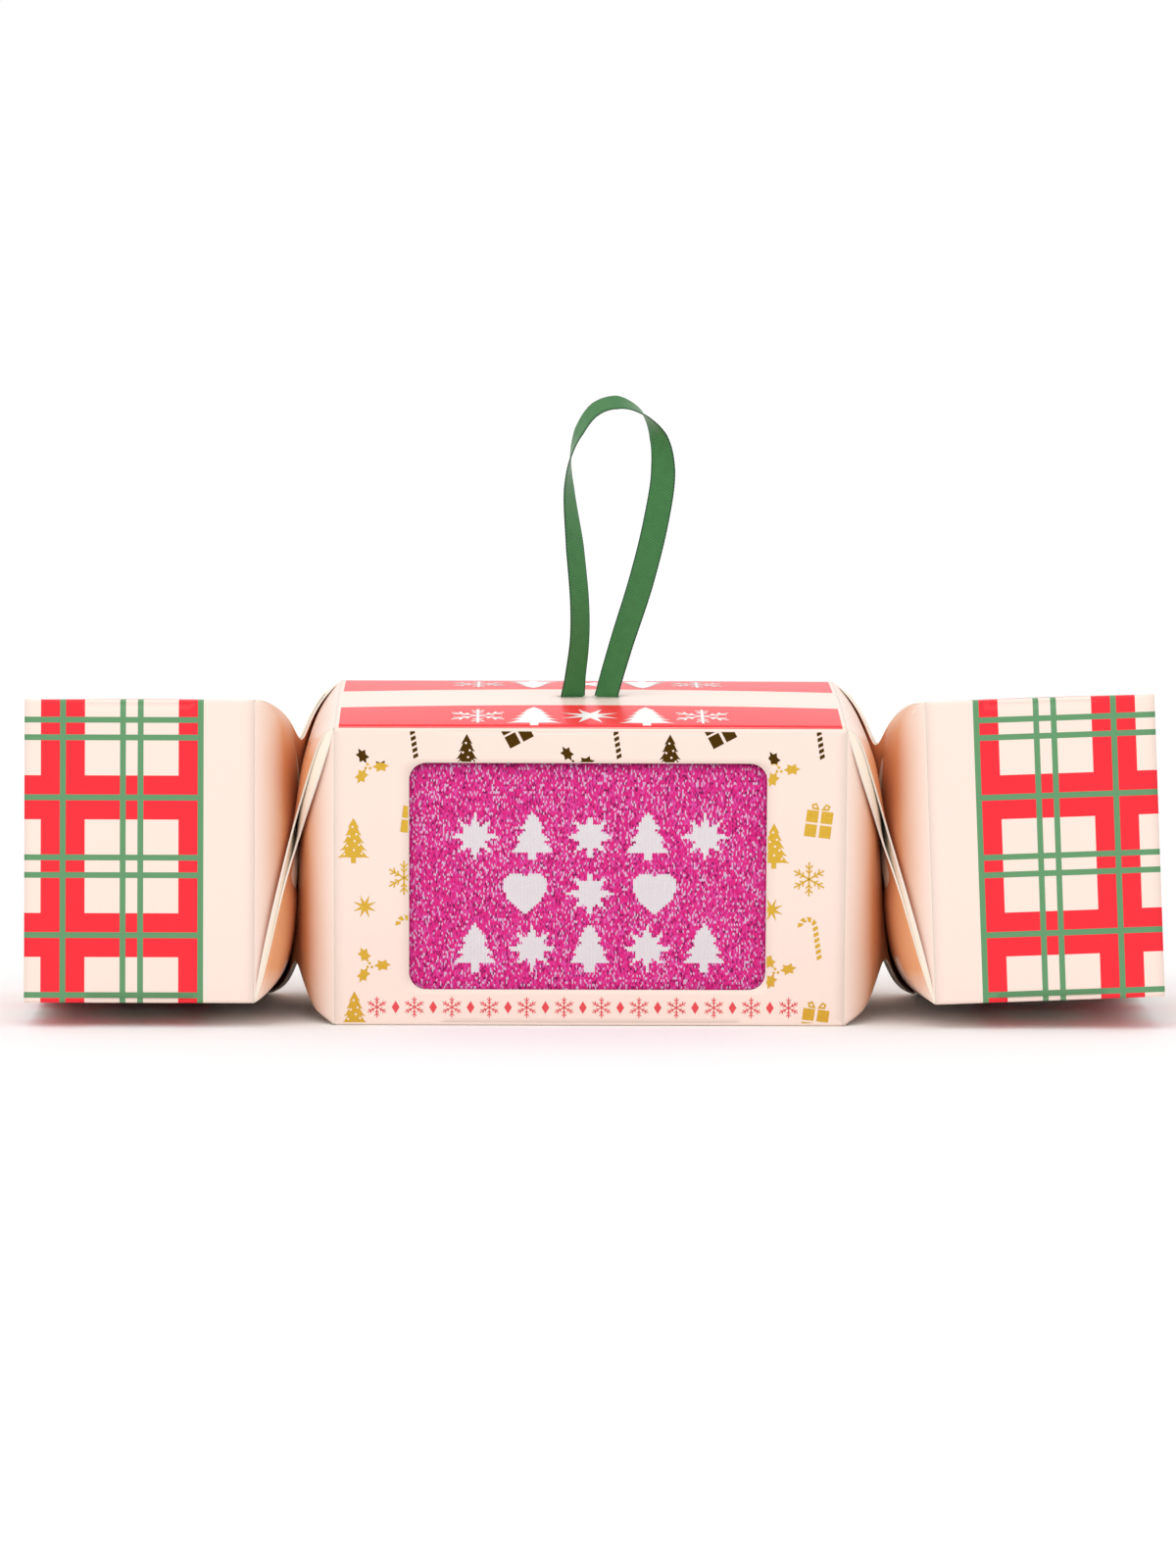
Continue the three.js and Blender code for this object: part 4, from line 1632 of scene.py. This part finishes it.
@dataclass
class Neck:
    """A twisted neck of four webs between the centre tube and an end tube.

    Seen along the carton a web is two flat triangles, folded along its diagonal. The triangle on the
    centre's crease and the one on the end's crease each flare from their tube before they turn in. Where
    a triangle has narrowed to a sliver it lies folded over its own web, so that its bare side shows.
    The place on the way round the twist is 0 at the centre tube and 1 at the end tube.
    """

    side: Side
    finishes: Finishes
    centre: Placement
    gap: float
    rise: float
    flare_height: float = 6.2
    flare_rate: float = 12.7
    flare_fade: float = 1.1
    lens: float = 15.5
    layer: float = 0.6
    rows: int = 60
    columns: int = 14
    names = ("back", "top", "front", "bottom")
    top_index: int = 2

    # How near to a corner the layers come together, and how soon a raw edge stands off
    corner_reach: float = 0.09
    edge_rise: float = 0.03

    # How sharply the lesser of several depths is taken, for a raw edge and for a flare
    edge_blend: float = 5.0
    edge_least: float = 0.02
    flare_blend: float = 6.0
    flare_least: float = 0.01

    # Where round the twist a triangle starts to lie on its own web, over how much of it, and its lap
    lying_from: float = 0.35
    lying_over: float = 0.25
    lap: float = 2.5
    bow_fade: float = 6.0

    # How far a raw edge stands off the straight line between its corners, and dips back in its middle
    centre_edge = (2.6, 0.0)
    end_edge = (0.5, 1.6)

    def flare(self, r: np.ndarray) -> np.ndarray:
        """How far a web stands out beside the tube that it leaves at r = 0."""
        fade = np.clip(1 - r, 0, 1) ** self.flare_fade
        return self.flare_height * fade * (1 - np.exp(-self.flare_rate * r))

    def wall(self, share: np.ndarray) -> np.ndarray:
        """How far a flare reaches along the neck, by its share of the tube's side as depth."""
        return self.gap * share + self.flare(share)

    def near_corner(self, r: np.ndarray) -> np.ndarray:
        """Falls to nothing at a tube's corner, where the layers of board come together."""
        return np.clip(r / self.corner_reach, 0, 1)

    def edge_along(self, r: np.ndarray, shape: tuple) -> np.ndarray:
        """The place along the neck of a raw edge, from the tube that it leaves at r = 0."""
        stand = shape[0] * (1 - np.exp(-r / self.edge_rise)) * (1 - r**3)
        return self.gap * r + stand - shape[1] * np.sin(math.pi * r) ** 2

    def edge_depth(self, r: np.ndarray, shape: tuple) -> np.ndarray:
        """How deep a raw edge lies behind the tubes' faces: just off the flares on both sides of it.

        Of the depths of the two flares and the lens the least is taken, blended by a power.

        Args:
            r: Places round the twist.
            shape: How far the edge stands off, and dips back.

        Returns:
            The depths.
        """
        grid = np.linspace(0, 1, 400)
        x = self.edge_along(r, shape)
        near = np.interp(x - 2 * self.layer * self.near_corner(r), self.wall(grid), BOX_SIDE * grid)
        far = np.interp(self.gap - x - self.layer * self.near_corner(1 - r), self.wall(grid), BOX_SIDE * grid)
        least, power = self.edge_least, -self.edge_blend
        depths = np.maximum(near, least) ** power + np.maximum(far, least) ** power + self.lens**power
        return depths ** (1 / power)

    def near_triangle(self, r: np.ndarray, s: np.ndarray) -> np.ndarray:
        """The place along the neck of the triangle on the crease at r = 0, for s from r to its raw edge.

        The triangle stands free as far as its own flare and the flare of the web that it crosses let it,
        and where it has narrowed it lies on its own web.

        Args:
            r: Places round the twist.
            s: Places across the web.

        Returns:
            Places along the neck, from that crease.
        """
        to_fold = np.clip((1 - s) / np.maximum(1 - r, TINY), 0, 1)
        own = self.wall(r) + 0 * s
        over = self.wall(1 - s) + 2 * self.layer * self.near_corner(r)
        least, power = self.flare_least, -self.flare_blend
        free = (np.maximum(own, least) ** power + np.maximum(over, least) ** power) ** (1 / power)
        free -= self.flare(1 - r) * to_fold**2
        lying = self.gap * s - self.flare(1 - s) + self.flare(s) * (r / np.maximum(s, TINY)) ** 2
        lying -= self.layer * self.near_corner(1 - r) * np.clip((s - r) * BOX_SIDE / self.lap, 0, 1)
        return free + smooth(np.clip((r - self.lying_from) / self.lying_over, 0, 1)) * (lying - free)

    def drawn_to_edge(self, r: np.ndarray, s: np.ndarray, shape: tuple) -> np.ndarray:
        """The same triangle with its raw edge drawn to its own line, less and less further in.

        Args:
            r: Places round the twist.
            s: Places across the web.
            shape: How far the raw edge stands off, and dips back.

        Returns:
            Places along the neck.
        """
        edge = 1 - self.edge_depth(r, shape) / BOX_SIDE
        inwards = np.clip((edge - s) / np.maximum(edge - r, TINY), 0, 1)
        miss = self.edge_along(r, shape) - self.near_triangle(r, edge)
        return self.near_triangle(r, s) + miss * (1 - inwards) ** 2

    def corner(self, index: int, lean: float, along: float) -> np.ndarray:
        """A corner of a tube in the middle of its board, counted by quarter turns from the lower front."""
        middle = HALF - BOARD / 2
        return turn_x(90.0 * index + lean) @ np.array([along, -middle, -middle])

    def surface(self, index: int, r: np.ndarray, s: np.ndarray) -> np.ndarray:
        """Points of a web: two flat triangles seen along the neck, each with its own place along it.

        Args:
            index: The web's first corner at the centre tube.
            r: Places round the twist.
            s: Places across the web.

        Returns:
            The points, from the centre tube's middle.
        """
        c0, c1 = (self.corner(index + k, LEAN, 0.0) for k in (0, 1))
        e0, e1 = (self.corner(index + 1 + k, -LEAN, 0.0) for k in (0, 1))
        s3, r3 = s[..., None], r[..., None]
        on_centre, on_end = c0 + s3 * (c1 - c0) + r3 * (e1 - c1), c0 + r3 * (e0 - c0) + s3 * (e1 - e0)
        points = np.where(s3 >= r3, on_centre, on_end)
        along = np.where(s >= r, self.drawn_to_edge(r, s, self.centre_edge),
                         self.gap - self.drawn_to_edge(1 - r, 1 - s, self.end_edge))
        points[..., 0] = self.side.value * (CENTRE_LENGTH / 2 + along)
        if index == self.top_index:
            outwards = np.cross([1.0, 0, 0], c1 - c0)
            outwards *= -TOP_END_BOW / np.linalg.norm(outwards)
            part = np.clip((s - r) / np.maximum(1 - r, TINY), 0, 1)
            points += (4 * part * (1 - part) * np.clip(1 - r, 0, 1) ** self.bow_fade)[..., None] * outwards
        return self.tilted(points)

    def tilted(self, points: np.ndarray) -> np.ndarray:
        """Turns each section of the neck with the end's rise, little by little.

        Args:
            points: Points from the centre tube's middle.

        Returns:
            The turned points.
        """
        share = np.clip((np.abs(points[..., 0]) - CENTRE_LENGTH / 2) / self.gap, 0, 1)
        angle = math.radians(self.rise) * smooth(share) * self.side.value
        z = points[..., 2]
        lifted = points.copy()
        lifted[..., 0] = points[..., 0] - z * np.sin(angle)
        lifted[..., 2] = z * np.cos(angle)
        return lifted

    def web(self, order: int) -> bpy.types.Object:
        """One web with a lens cut out of each long edge.

        Args:
            order: Which web, from the one that leaves the centre's back panel.

        Returns:
            The piece, between the centre and the end.
        """
        even = np.linspace(0, 1, self.rows + 1)
        r = smooth(even)
        low = self.edge_depth(1 - r, self.end_edge) / BOX_SIDE
        high = 1 - self.edge_depth(r, self.centre_edge) / BOX_SIDE
        fold = np.clip(r, low, high)
        part = 0.5 - 0.5 * np.cos(np.linspace(0, math.pi, self.columns + 1))
        before = low[:, None] + (fold - low)[:, None] * part
        after = fold[:, None] + (high - fold)[:, None] * part[1:]
        s = np.concatenate([before, after], 1)
        places = np.repeat(r[:, None], s.shape[1], 1)
        points = self.surface(order + 1, places, s)
        # The depth into the fold, kept in the print layer for the necks' painted shade
        painted_shade_depth = np.where(s >= places, places, 1 - places)
        uv = np.stack([painted_shade_depth * BOX_SIDE, s * BOX_SIDE], -1)
        if self.side is Side.LEFT:
            points, uv = points[:, ::-1], uv[:, ::-1]
        axis = Placement.upright(self.centre.origin)
        name = f"web_{self.names[order]}"
        piece = mesh_piece(f"{self.side.word}_{name}", [grid_patch(points, uv)], axis, sharp=60)
        dress(piece, self.finishes.neck, self.finishes.neck_inside_painted_light, self.finishes.edge)
        thicken(piece, offset=0.0, even=False)
        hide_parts(f"{self.side.word}_neck_{name}")
        start = axis.world(np.array([self.side.value * CENTRE_LENGTH / 2, 0, 0]))
        end = axis.world(np.array([self.side.value * (CENTRE_LENGTH / 2 + self.gap), 0, 0]))
        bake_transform(piece)
        return piece

    def build(self) -> list:
        """The four webs."""
        return [self.web(order) for order in range(4)]


@dataclass
class HangingRibbon:
    """The flat satin ribbon that stands up in a loop, and its knot inside the carton."""

    finishes: Finishes
    placement: Placement
    width: float = 6.0
    thickness: float = 0.42
    steps: int = 10
    face_points: int = 15
    flatness: int = 14
    thinnest: float = 0.1
    tail: float = 0.9
    tail_flat: float = 0.8
    knot_length: float = 60.0

    # Across, depth, height above the top panel, turn of the ribbon about its own line in degrees
    route = (
        (-4.0, 0.0, -2.4, 10), (-3.9, 0.0, 0.6, 16), (-3.3, -0.4, 6.1, 34), (-2.3, -1.2, 15.2, 40),
        (-2.3, -1.8, 23.9, 42), (-3.5, -1.6, 37.5, 46), (-4.9, -0.6, 51.0, 66), (-4.6, 0.2, 58.1, 88),
        (-2.6, 0.8, 64.4, 109), (1.2, 1.0, 69.6, 116), (6.3, 1.0, 71.2, 115), (11.7, 0.8, 69.1, 92),
        (15.9, 0.4, 63.2, 46), (17.1, 0.2, 55.3, 20), (15.6, 0.2, 43.8, 8), (12.1, 0.3, 29.0, 10),
        (7.5, 0.3, 14.1, 24), (4.4, 0.1, 3.0, 30), (4.0, 0.0, 0.6, 16), (4.0, 0.0, -2.4, 10),
    )

    def line(self) -> tuple:
        """The middle line, its tangents and the turn along it.

        Between two points of the route the line is a cubic whose slopes come from the square roots of
        the distances to the neighbours, and the turn changes evenly.

        Returns:
            The points, their tangents and the turns in radians.
        """
        route = np.array(self.route, float)
        places = route[:, :3]
        ends = [2 * places[0] - places[1], *places, 2 * places[-1] - places[-2]]
        p0, p1, p2, p3 = (np.array(ends[k:len(ends) - 3 + k]) for k in range(4))
        d0, d1, d2 = (np.sqrt(np.linalg.norm(b - a, axis=1))[:, None]
                      for a, b in ((p0, p1), (p1, p2), (p2, p3)))
        m1 = ((p1 - p0) / d0 - (p2 - p0) / (d0 + d1) + (p2 - p1) / d1) * d1
        m2 = ((p2 - p1) / d1 - (p3 - p1) / (d1 + d2) + (p3 - p2) / d2) * d1
        w = np.linspace(0, 1, self.steps, endpoint=False)[None, :, None]
        a, b = p1[:, None], p2[:, None]
        m1, m2 = m1[:, None], m2[:, None]
        cubic, square = 2 * a - 2 * b + m1 + m2, -3 * a + 3 * b - 2 * m1 - m2
        line = (a + m1 * w + square * w**2 + cubic * w**3).reshape(-1, 3)
        slope = (m1 + 2 * square * w + 3 * cubic * w**2).reshape(-1, 3)
        line, slope = np.vstack([line, places[-1]]), np.vstack([slope, m2[-1]])
        turns = np.interp(np.linspace(0, len(route) - 1, len(line)), np.arange(len(route)), route[:, 3])
        return line, slope / np.linalg.norm(slope, axis=1)[:, None], np.radians(turns)

    def section(self) -> np.ndarray:
        """The outline across the ribbon: flat faces that thin to a rounded selvedge.

        Returns:
            Places across and off the ribbon's middle.
        """
        half = np.linspace(-1, 1, self.face_points)
        share = np.concatenate([half, half[::-1]])
        face = np.repeat([1.0, -1.0], self.face_points)
        thin = np.sqrt(np.clip(1 - np.abs(share) ** self.flatness, self.thinnest, 1))
        return np.stack([self.width / 2 * share, face * self.thickness / 2 * thin], -1)

    def build(self) -> bpy.types.Object:
        """The ribbon as a closed strip carried along its line, with its ends closed.

        Returns:
            The piece.
        """
        line, tangent, turn = self.line()
        aside = np.stack([tangent[:, 2], 0 * turn, -tangent[:, 0]], -1)
        aside /= np.linalg.norm(aside, axis=1)[:, None]
        back = np.cross(tangent, aside)
        across = np.cos(turn)[:, None] * aside + np.sin(turn)[:, None] * back
        facing = np.cross(tangent, across)
        section = self.section()
        aside_part, off_part = section[None, :, :1], section[None, :, 1:]
        rings = line[:, None] + aside_part * across[:, None] + off_part * facing[:, None]
        rings = np.concatenate([rings, rings[:, :1]], 1)
        length = np.concatenate([[0], np.cumsum(np.linalg.norm(np.diff(line, axis=0), axis=1))])
        wide = np.append(section[:, 0], section[0, 0])
        uv = np.stack([np.repeat(wide[None], len(line), 0), np.repeat(length[:, None], len(wide), 1)], -1)
        lift = np.array([0, 0, HALF])
        strip = grid_patch(rings + lift, uv)
        count = len(section)
        caps = [list(range(count))[::-1], [(len(line) - 1) * (count + 1) + i for i in range(count)]]
        strip.faces += caps
        piece = mesh_piece("satin_loop", [strip], self.placement, weld=0.005, sharp=60)
        outward_faces(piece)
        dress(piece, self.finishes.satin)
        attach(piece, "centre")
        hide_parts("ribbon_loop")
        path = self.placement.world(line + lift)
        log.info("ribbon length %.1f mm", length[-1])
        return piece

    def knot(self) -> bpy.types.Object:
        """The two tails tied: a flattened three-lobed knot line carried by a round section.

        Returns:
            The piece.
        """
        low, high = box_mm("ribbon_knot")
        middle, reach = (low + high) / 2, (high - low) / 2
        steps, sides = 97, 13
        t = np.linspace(0, 2 * math.pi, steps)
        lobes = np.stack([np.sin(t) + 2 * np.sin(2 * t), np.cos(t) - 2 * np.cos(2 * t), -np.sin(3 * t)], -1)
        line = lobes * (reach - 1.0) / np.abs(lobes).max(0)
        slope = np.gradient(line, axis=0)
        slope[0] = slope[-1] = slope[1] + slope[-2]
        slope /= np.linalg.norm(slope, axis=1)[:, None]
        side = np.cross(slope, [0, 0, 1.0])
        side /= np.linalg.norm(side, axis=1)[:, None]
        up = np.cross(side, slope)
        angle = np.linspace(0, 2 * math.pi, sides)[None, :, None]
        round_line = np.cos(angle) * side[:, None] + self.tail_flat * np.sin(angle) * up[:, None]
        rings = line[:, None] + self.tail * round_line
        rings[-1] = rings[0]
        uv = np.stack(np.meshgrid(np.linspace(-2.6, 2.6, sides), np.linspace(0, self.knot_length, steps)), -1)
        piece = mesh_piece("tied_tails", [grid_patch(rings + middle, uv)], Placement.upright())
        outward_faces(piece)
        dress(piece, self.finishes.satin)
        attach(piece, "centre")
        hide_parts("ribbon_knot")
        return piece


def outward_faces(piece: bpy.types.Object) -> None:
    """Turns the faces of a closed mesh outwards.

    Args:
        piece: The piece.
    """
    work = bmesh.new()
    work.from_mesh(piece.data)
    bmesh.ops.recalc_face_normals(work, faces=work.faces)
    work.to_mesh(piece.data)
    work.free()


class Motif(Enum):
    """Knitted pictures, as functions of the place aside and up from their middle."""

    ROSE = "rose"
    FIR = "fir"
    HEART = "heart"

    def covers(self, aside: np.ndarray, up: np.ndarray) -> np.ndarray:
        """Where the stitches belong to the motif.

        The fir is a trunk and three triangles. The heart is where the cube of x squared plus y squared
        less 1 is below x squared times y cubed. The rose is four thin diamonds that cross in their middle.

        Args:
            aside: Places to the right of its middle, in millimetres.
            up: Places above it.

        Returns:
            Truth values.
        """
        if self is Motif.FIR:
            covered = (np.abs(aside) < 1.0) & (up > -5.6) & (up < -3.0)
            for foot, top, reach in ((-3.6, 1.4, 4.6), (-1.0, 3.6, 3.6), (1.6, 5.7, 2.6)):
                slope = reach * (top - up) / (top - foot) + 0.3
                covered |= (up > foot) & (up < top) & (np.abs(aside) < slope)
            return covered
        if self is Motif.HEART:
            size, drop = 4.4, 0.6
            x, y = aside / size, (up + drop) / size
            return (x**2 + y**2 - 1) ** 3 - x**2 * y**3 < 0
        a, b = np.abs(aside + up) / math.sqrt(2), np.abs(aside - up) / math.sqrt(2)
        x, y = np.abs(aside), np.abs(up)
        covered = np.zeros(aside.shape, bool)
        for first, second, narrow, long in ((a, b, 1.7, 5.4), (x, y, 1.9, 5.7)):
            covered |= (first / narrow + second / long < 1) | (first / long + second / narrow < 1)
        return covered


@dataclass
class Sock:
    """A sock folded to a slab: a rounded box whose front is a grid of knit stitches.

    Each stitch is two slanting faces, so that the rows run in small chevrons.
    """

    name: str
    node: str
    finishes: Finishes
    placement: Placement
    centre: tuple
    size: tuple
    stitch: tuple = (0.62, 0.55)
    radius: float = 7.0
    seed: int = 7
    swell: float = 0.0
    motifs: tuple = ()
    edge_power: tuple = (12, 16)
    chevron: float = 0.55
    wall_points: int = 12

    # Height and wavelength of the faces' ripple aside, with its bend, and of the one up, with its drift
    ripple_aside: tuple = (0.16, 5.3, 0.6, 9.0)
    ripple_up: tuple = (0.12, 6.1, 17.0)

    @property
    def half(self) -> np.ndarray:
        """Half of the slab's width, depth and height."""
        return np.array(self.size) / 2

    @property
    def columns(self) -> int:
        """Legs in a row of stitches, two a stitch."""
        return 2 * int(self.size[0] / self.stitch[0])

    @property
    def rows(self) -> int:
        """Rows of stitches."""
        return int(self.size[2] / self.stitch[1])

    def skin(self, x: np.ndarray, z: np.ndarray, y: np.ndarray) -> np.ndarray:
        """Points of the slab's skin, from points on the box round it.

        A point is drawn back to the inner box and pushed out again by the radius. The faces ripple a
        little, in sines, and the front presses forwards, by high powers of the places that fade it only
        beside its edges.

        Args:
            x: Places aside.
            z: Places up.
            y: Places back.

        Returns:
            The points.
        """
        half = self.half
        flat = np.stack([x, y, z], -1)
        inner = np.clip(flat, -half + self.radius, half - self.radius)
        away = flat - inner
        length = np.maximum(np.linalg.norm(away, axis=-1, keepdims=True), 1e-9)
        points = inner + away / length * self.radius
        high, length_x, bend, bend_length = self.ripple_aside
        ripple = high * np.sin(x / length_x + bend * np.sin(z / bend_length))
        high, length_z, drift = self.ripple_up
        ripple += high * np.sin(z / length_z + x / drift)
        share = self.fading(x, z, 4, 4)
        points[..., 1] += np.sign(y) * ripple * share * (np.abs(points[..., 1]) > half[1] - self.radius)
        points[..., 1] -= self.swell * self.fading(x, z, *self.edge_power) * (y < 0)
        return points

    def fading(self, x: np.ndarray, z: np.ndarray, power_x: int, power_z: int) -> np.ndarray:
        """1 in the middle of a face and 0 at its edges."""
        x_share, z_share = (x / self.half[0]) ** power_x, (z / self.half[2]) ** power_z
        return np.clip(1 - x_share, 0, 1) * np.clip(1 - z_share, 0, 1)

    def face(self, side: int) -> Patch:
        """The front or the back as chevron rows of stitch legs: every other line of points stands higher.

        Args:
            side: -1 for the front, 1 for the back.

        Returns:
            The patch.
        """
        half = self.half
        x, z = np.meshgrid(np.linspace(-half[0], half[0], self.columns + 1),
                           np.linspace(-half[2], half[2], self.rows + 1))
        inner_row = (np.abs(z) < half[2] - 0.01) & (np.abs(x) < half[0] - 0.01)
        rise = self.chevron * self.stitch[1] * (np.arange(self.columns + 1) % 2)
        z = z + np.where(inner_row, rise, 0)
        points = self.skin(x, z, np.full_like(x, side * half[1]))
        uv = np.stack([x, z], -1)
        if side > 0:
            points, uv = points[:, ::-1], uv[:, ::-1]
        return grid_patch(points, uv)

    def wall(self) -> Patch:
        """The narrow side round the slab, from the front's edge to the back's.

        Returns:
            The patch.
        """
        half = self.half
        x, z = np.linspace(-half[0], half[0], self.columns + 1), np.linspace(-half[2], half[2], self.rows + 1)
        edge = np.concatenate([
            np.stack([x, np.full(len(x), -half[2])], -1)[:-1],
            np.stack([np.full(len(z), half[0]), z], -1)[:-1],
            np.stack([x[::-1], np.full(len(x), half[2])], -1)[:-1],
            np.stack([np.full(len(z), -half[0]), z[::-1]], -1)])
        depth = np.linspace(-half[1], half[1], self.wall_points)[:, None]
        across = np.repeat(edge[None, :, 0], len(depth), 0)
        up = np.repeat(edge[None, :, 1], len(depth), 0)
        points = self.skin(across, up, depth + 0 * across)
        return grid_patch(points, np.stack([across, up], -1))

    def build(self) -> bpy.types.Object:
        """The slab with its stitches' tones and motifs kept on the faces.

        Returns:
            The piece.
        """
        front = self.face(-1)
        patches = (front, self.face(1), self.wall())
        shifted = [patch.moved(patch.points + np.array(self.centre)) for patch in patches]
        piece = mesh_piece(self.name, shifted, self.placement, weld=0.0, sharp=180)
        self.mark_stitches(piece, front)
        dress(piece, self.finishes.knit)
        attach(piece, "centre")
        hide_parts(self.node)
        return piece

    def mark_stitches(self, piece: bpy.types.Object, front: Patch) -> None:
        """Writes each face's yarn tone, its motif and its place within a stitch leg.

        Args:
            piece: The mesh whose first faces are the front's.
            front: The front patch.
        """
        mesh, chance = piece.data, np.random.default_rng(self.seed)
        count, legs = len(mesh.polygons), self.rows * self.columns
        tone = chance.random(count)
        centres = front.uv[np.array(front.faces)].mean(1)
        column = np.floor((np.arange(legs) % self.columns) / 2)
        aside = -self.size[0] / 2 + (column + 0.5) * self.size[0] / (self.columns // 2)
        motif = np.zeros(count)
        for kind, place, up in self.motifs:
            motif[:legs] = np.maximum(motif[:legs], kind.covers(aside - place, centres[:, 1] - up))
        for name, values in (("yarn", tone), ("motif", motif)):
            layer = mesh.attributes.new(name, "FLOAT", "FACE")
            layer.data.foreach_set("value", values.astype(np.float32))
        leg = np.array([(0, 0), (1, 0), (1, 1), (0, 1)], np.float32)
        layer = mesh.uv_layers.new(name="stitch")
        layer.data.foreach_set("uv", np.tile(leg, (len(mesh.loops) // 4, 1)).ravel())


@dataclass
class Studio:
    """The pale floor, the soft light and the camera of the photograph."""

    finishes: Finishes
    target: np.ndarray
    distance: float = 1.5
    pixels_per_radian: float = 6482.0
    image_height: float = 1600.0
    sensor: float = 36.0
    elevation: float = 5.11
    azimuth: float = -0.744
    roll: float = 0.232
    floor_reach: float = 6000.0
    floor_drop: float = 0.02
    surroundings: float = 1.02
    sun_strength: float = 0.65
    sun_spread: float = 50.0
    sun_way: tuple = (0.25, 0.55, -1.0)

    def camera(self) -> bpy.types.Object:
        """A long lens, almost level, looking along +Y.

        Returns:
            The camera.
        """
        data = bpy.data.cameras.new("camera")
        data.sensor_width = self.sensor
        data.lens = self.pixels_per_radian / self.image_height * self.sensor
        data.clip_end = 50
        el, az, roll = (math.radians(value) for value in (self.elevation, self.azimuth, self.roll))
        back = np.array([math.sin(az) * math.cos(el), -math.cos(az) * math.cos(el), math.sin(el)])
        right = np.cross([0, 0, 1], back)
        right /= np.linalg.norm(right)
        up = np.cross(back, right)
        x, y = math.cos(roll) * right + math.sin(roll) * up, math.cos(roll) * up - math.sin(roll) * right
        place = np.eye(4)
        place[:3, 0], place[:3, 1], place[:3, 2] = x, y, back
        place[:3, 3] = self.target + self.distance * back
        camera = bpy.data.objects.new("camera", data)
        camera.matrix_world = Matrix(place.tolist())
        bpy.context.scene.collection.objects.link(camera)
        bpy.context.scene.camera = camera
        return camera

    def floor(self) -> bpy.types.Object:
        """A wide level floor with its edge far out of sight.

        Returns:
            The piece.
        """
        lines = np.linspace(-self.floor_reach, self.floor_reach, 13)
        x, y = np.meshgrid(lines, lines)
        points = np.stack([x, y, np.full_like(x, -self.floor_drop)], -1)
        piece = mesh_piece("floor", [grid_patch(points, np.stack([x, y], -1))], Placement.upright())
        dress(piece, self.finishes.floor)
        return piece

    def light(self) -> None:
        """White surroundings and a broad soft sun from above, in front and a little to the left."""
        world = bpy.data.worlds.new("white_surroundings")
        world.use_nodes = True
        background = world.node_tree.nodes["Background"]
        background.inputs["Color"].default_value = (1, 1, 1, 1)
        background.inputs["Strength"].default_value = self.surroundings
        bpy.context.scene.world = world
        sun = bpy.data.lights.new("softbox", "SUN")
        sun.energy = self.sun_strength
        sun.angle = math.radians(self.sun_spread)
        lamp = bpy.data.objects.new("softbox", sun)
        lamp.rotation_euler = Vector(self.sun_way).to_track_quat("-Z", "Y").to_euler()
        bpy.context.scene.collection.objects.link(lamp)
        bpy.context.scene.view_settings.view_transform = "Standard"


@dataclass
class Contents:
    """The folded pair of socks, one behind the other on the floor of the centre tube."""

    finishes: Finishes
    placement: Placement
    width: float = 101.0
    depth: float = 31.0
    middle: float = 15.65
    floor: float = -HALF + BOARD + 0.3

    # Each knitted row: its place up, its motifs, and how far aside the outer ones stand
    motif_rows = (
        (12.2, (Motif.ROSE, Motif.FIR, Motif.ROSE, Motif.FIR, Motif.ROSE), 26.6),
        (-1.1, (Motif.HEART, Motif.ROSE, Motif.HEART), 15.0),
        (-14.1, (Motif.FIR, Motif.ROSE, Motif.FIR, Motif.ROSE, Motif.FIR), 26.6),
    )

    def sock(self, name: str, side: int, height: float, **knit: object) -> bpy.types.Object:
        """A sock of its own height on the floor. Side -1 is nearer to the window."""
        centre, size = (0.0, side * self.middle, self.floor + height / 2), (self.width, self.depth, height)
        return Sock(f"folded_{name}", name, self.finishes, self.placement, centre, size, **knit).build()

    def build(self) -> list:
        """Both socks, with motifs and fine stitches on the front one.

        Returns:
            The pieces.
        """
        motifs = tuple((kind, float(place), up) for up, kinds, reach in self.motif_rows
                       for kind, place in zip(kinds, np.linspace(-reach, reach, len(kinds))))
        return [self.sock("sock_front", -1, 63.0, radius=3.5, swell=2.9, motifs=motifs),
                self.sock("sock_back", 1, 62.0, stitch=(1.6, 1.5))]


def main() -> None:
    """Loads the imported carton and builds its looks, piece by piece."""
    logging.basicConfig(level=logging.INFO, format="%(name)s: %(message)s")
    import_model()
    low, high = box_mm("centre_sleeve")
    axis = (low + high) / 2
    left_edge, right_edge = box_mm("left_end_sleeve")[1][0], axis[0] + CENTRE_LENGTH / 2 + RIGHT_GAP
    left_gap, right_gap = axis[0] - CENTRE_LENGTH / 2 - left_edge, right_edge - axis[0] - CENTRE_LENGTH / 2
    centre = Placement(axis, turn_x(LEAN))
    left = Placement(np.array([left_edge, axis[1], axis[2]]), turn_x(-LEAN))
    right = Placement(np.array([right_edge, axis[1], axis[2]]), turn_y(-RIGHT_RISE) @ turn_x(-LEAN))
    finishes = Finishes()
    studio = Studio(finishes, target=(axis + np.array(LOOKS_AT)) * MM)
    studio.camera()
    ribbon, sleeve = HangingRibbon(finishes, centre), CentreSleeve(finishes, centre)
    made = [ribbon.build(), ribbon.knot()]
    made += [sleeve.build(), sleeve.foil(), sleeve.band_pictures(), sleeve.border()]
    made += Neck(Side.LEFT, finishes, centre, left_gap, 0.0).build()
    made += Neck(Side.RIGHT, finishes, centre, right_gap, RIGHT_RISE).build()
    made += EndBox(Side.LEFT, finishes, left).build()
    made += EndBox(Side.RIGHT, finishes, right).build()
    made += Contents(finishes, centre).build()
    studio.floor()
    studio.light()
    for piece in made:
        log.info("%s: %d faces", piece.name, len(piece.data.polygons))


if __name__ == "__main__":
    main()
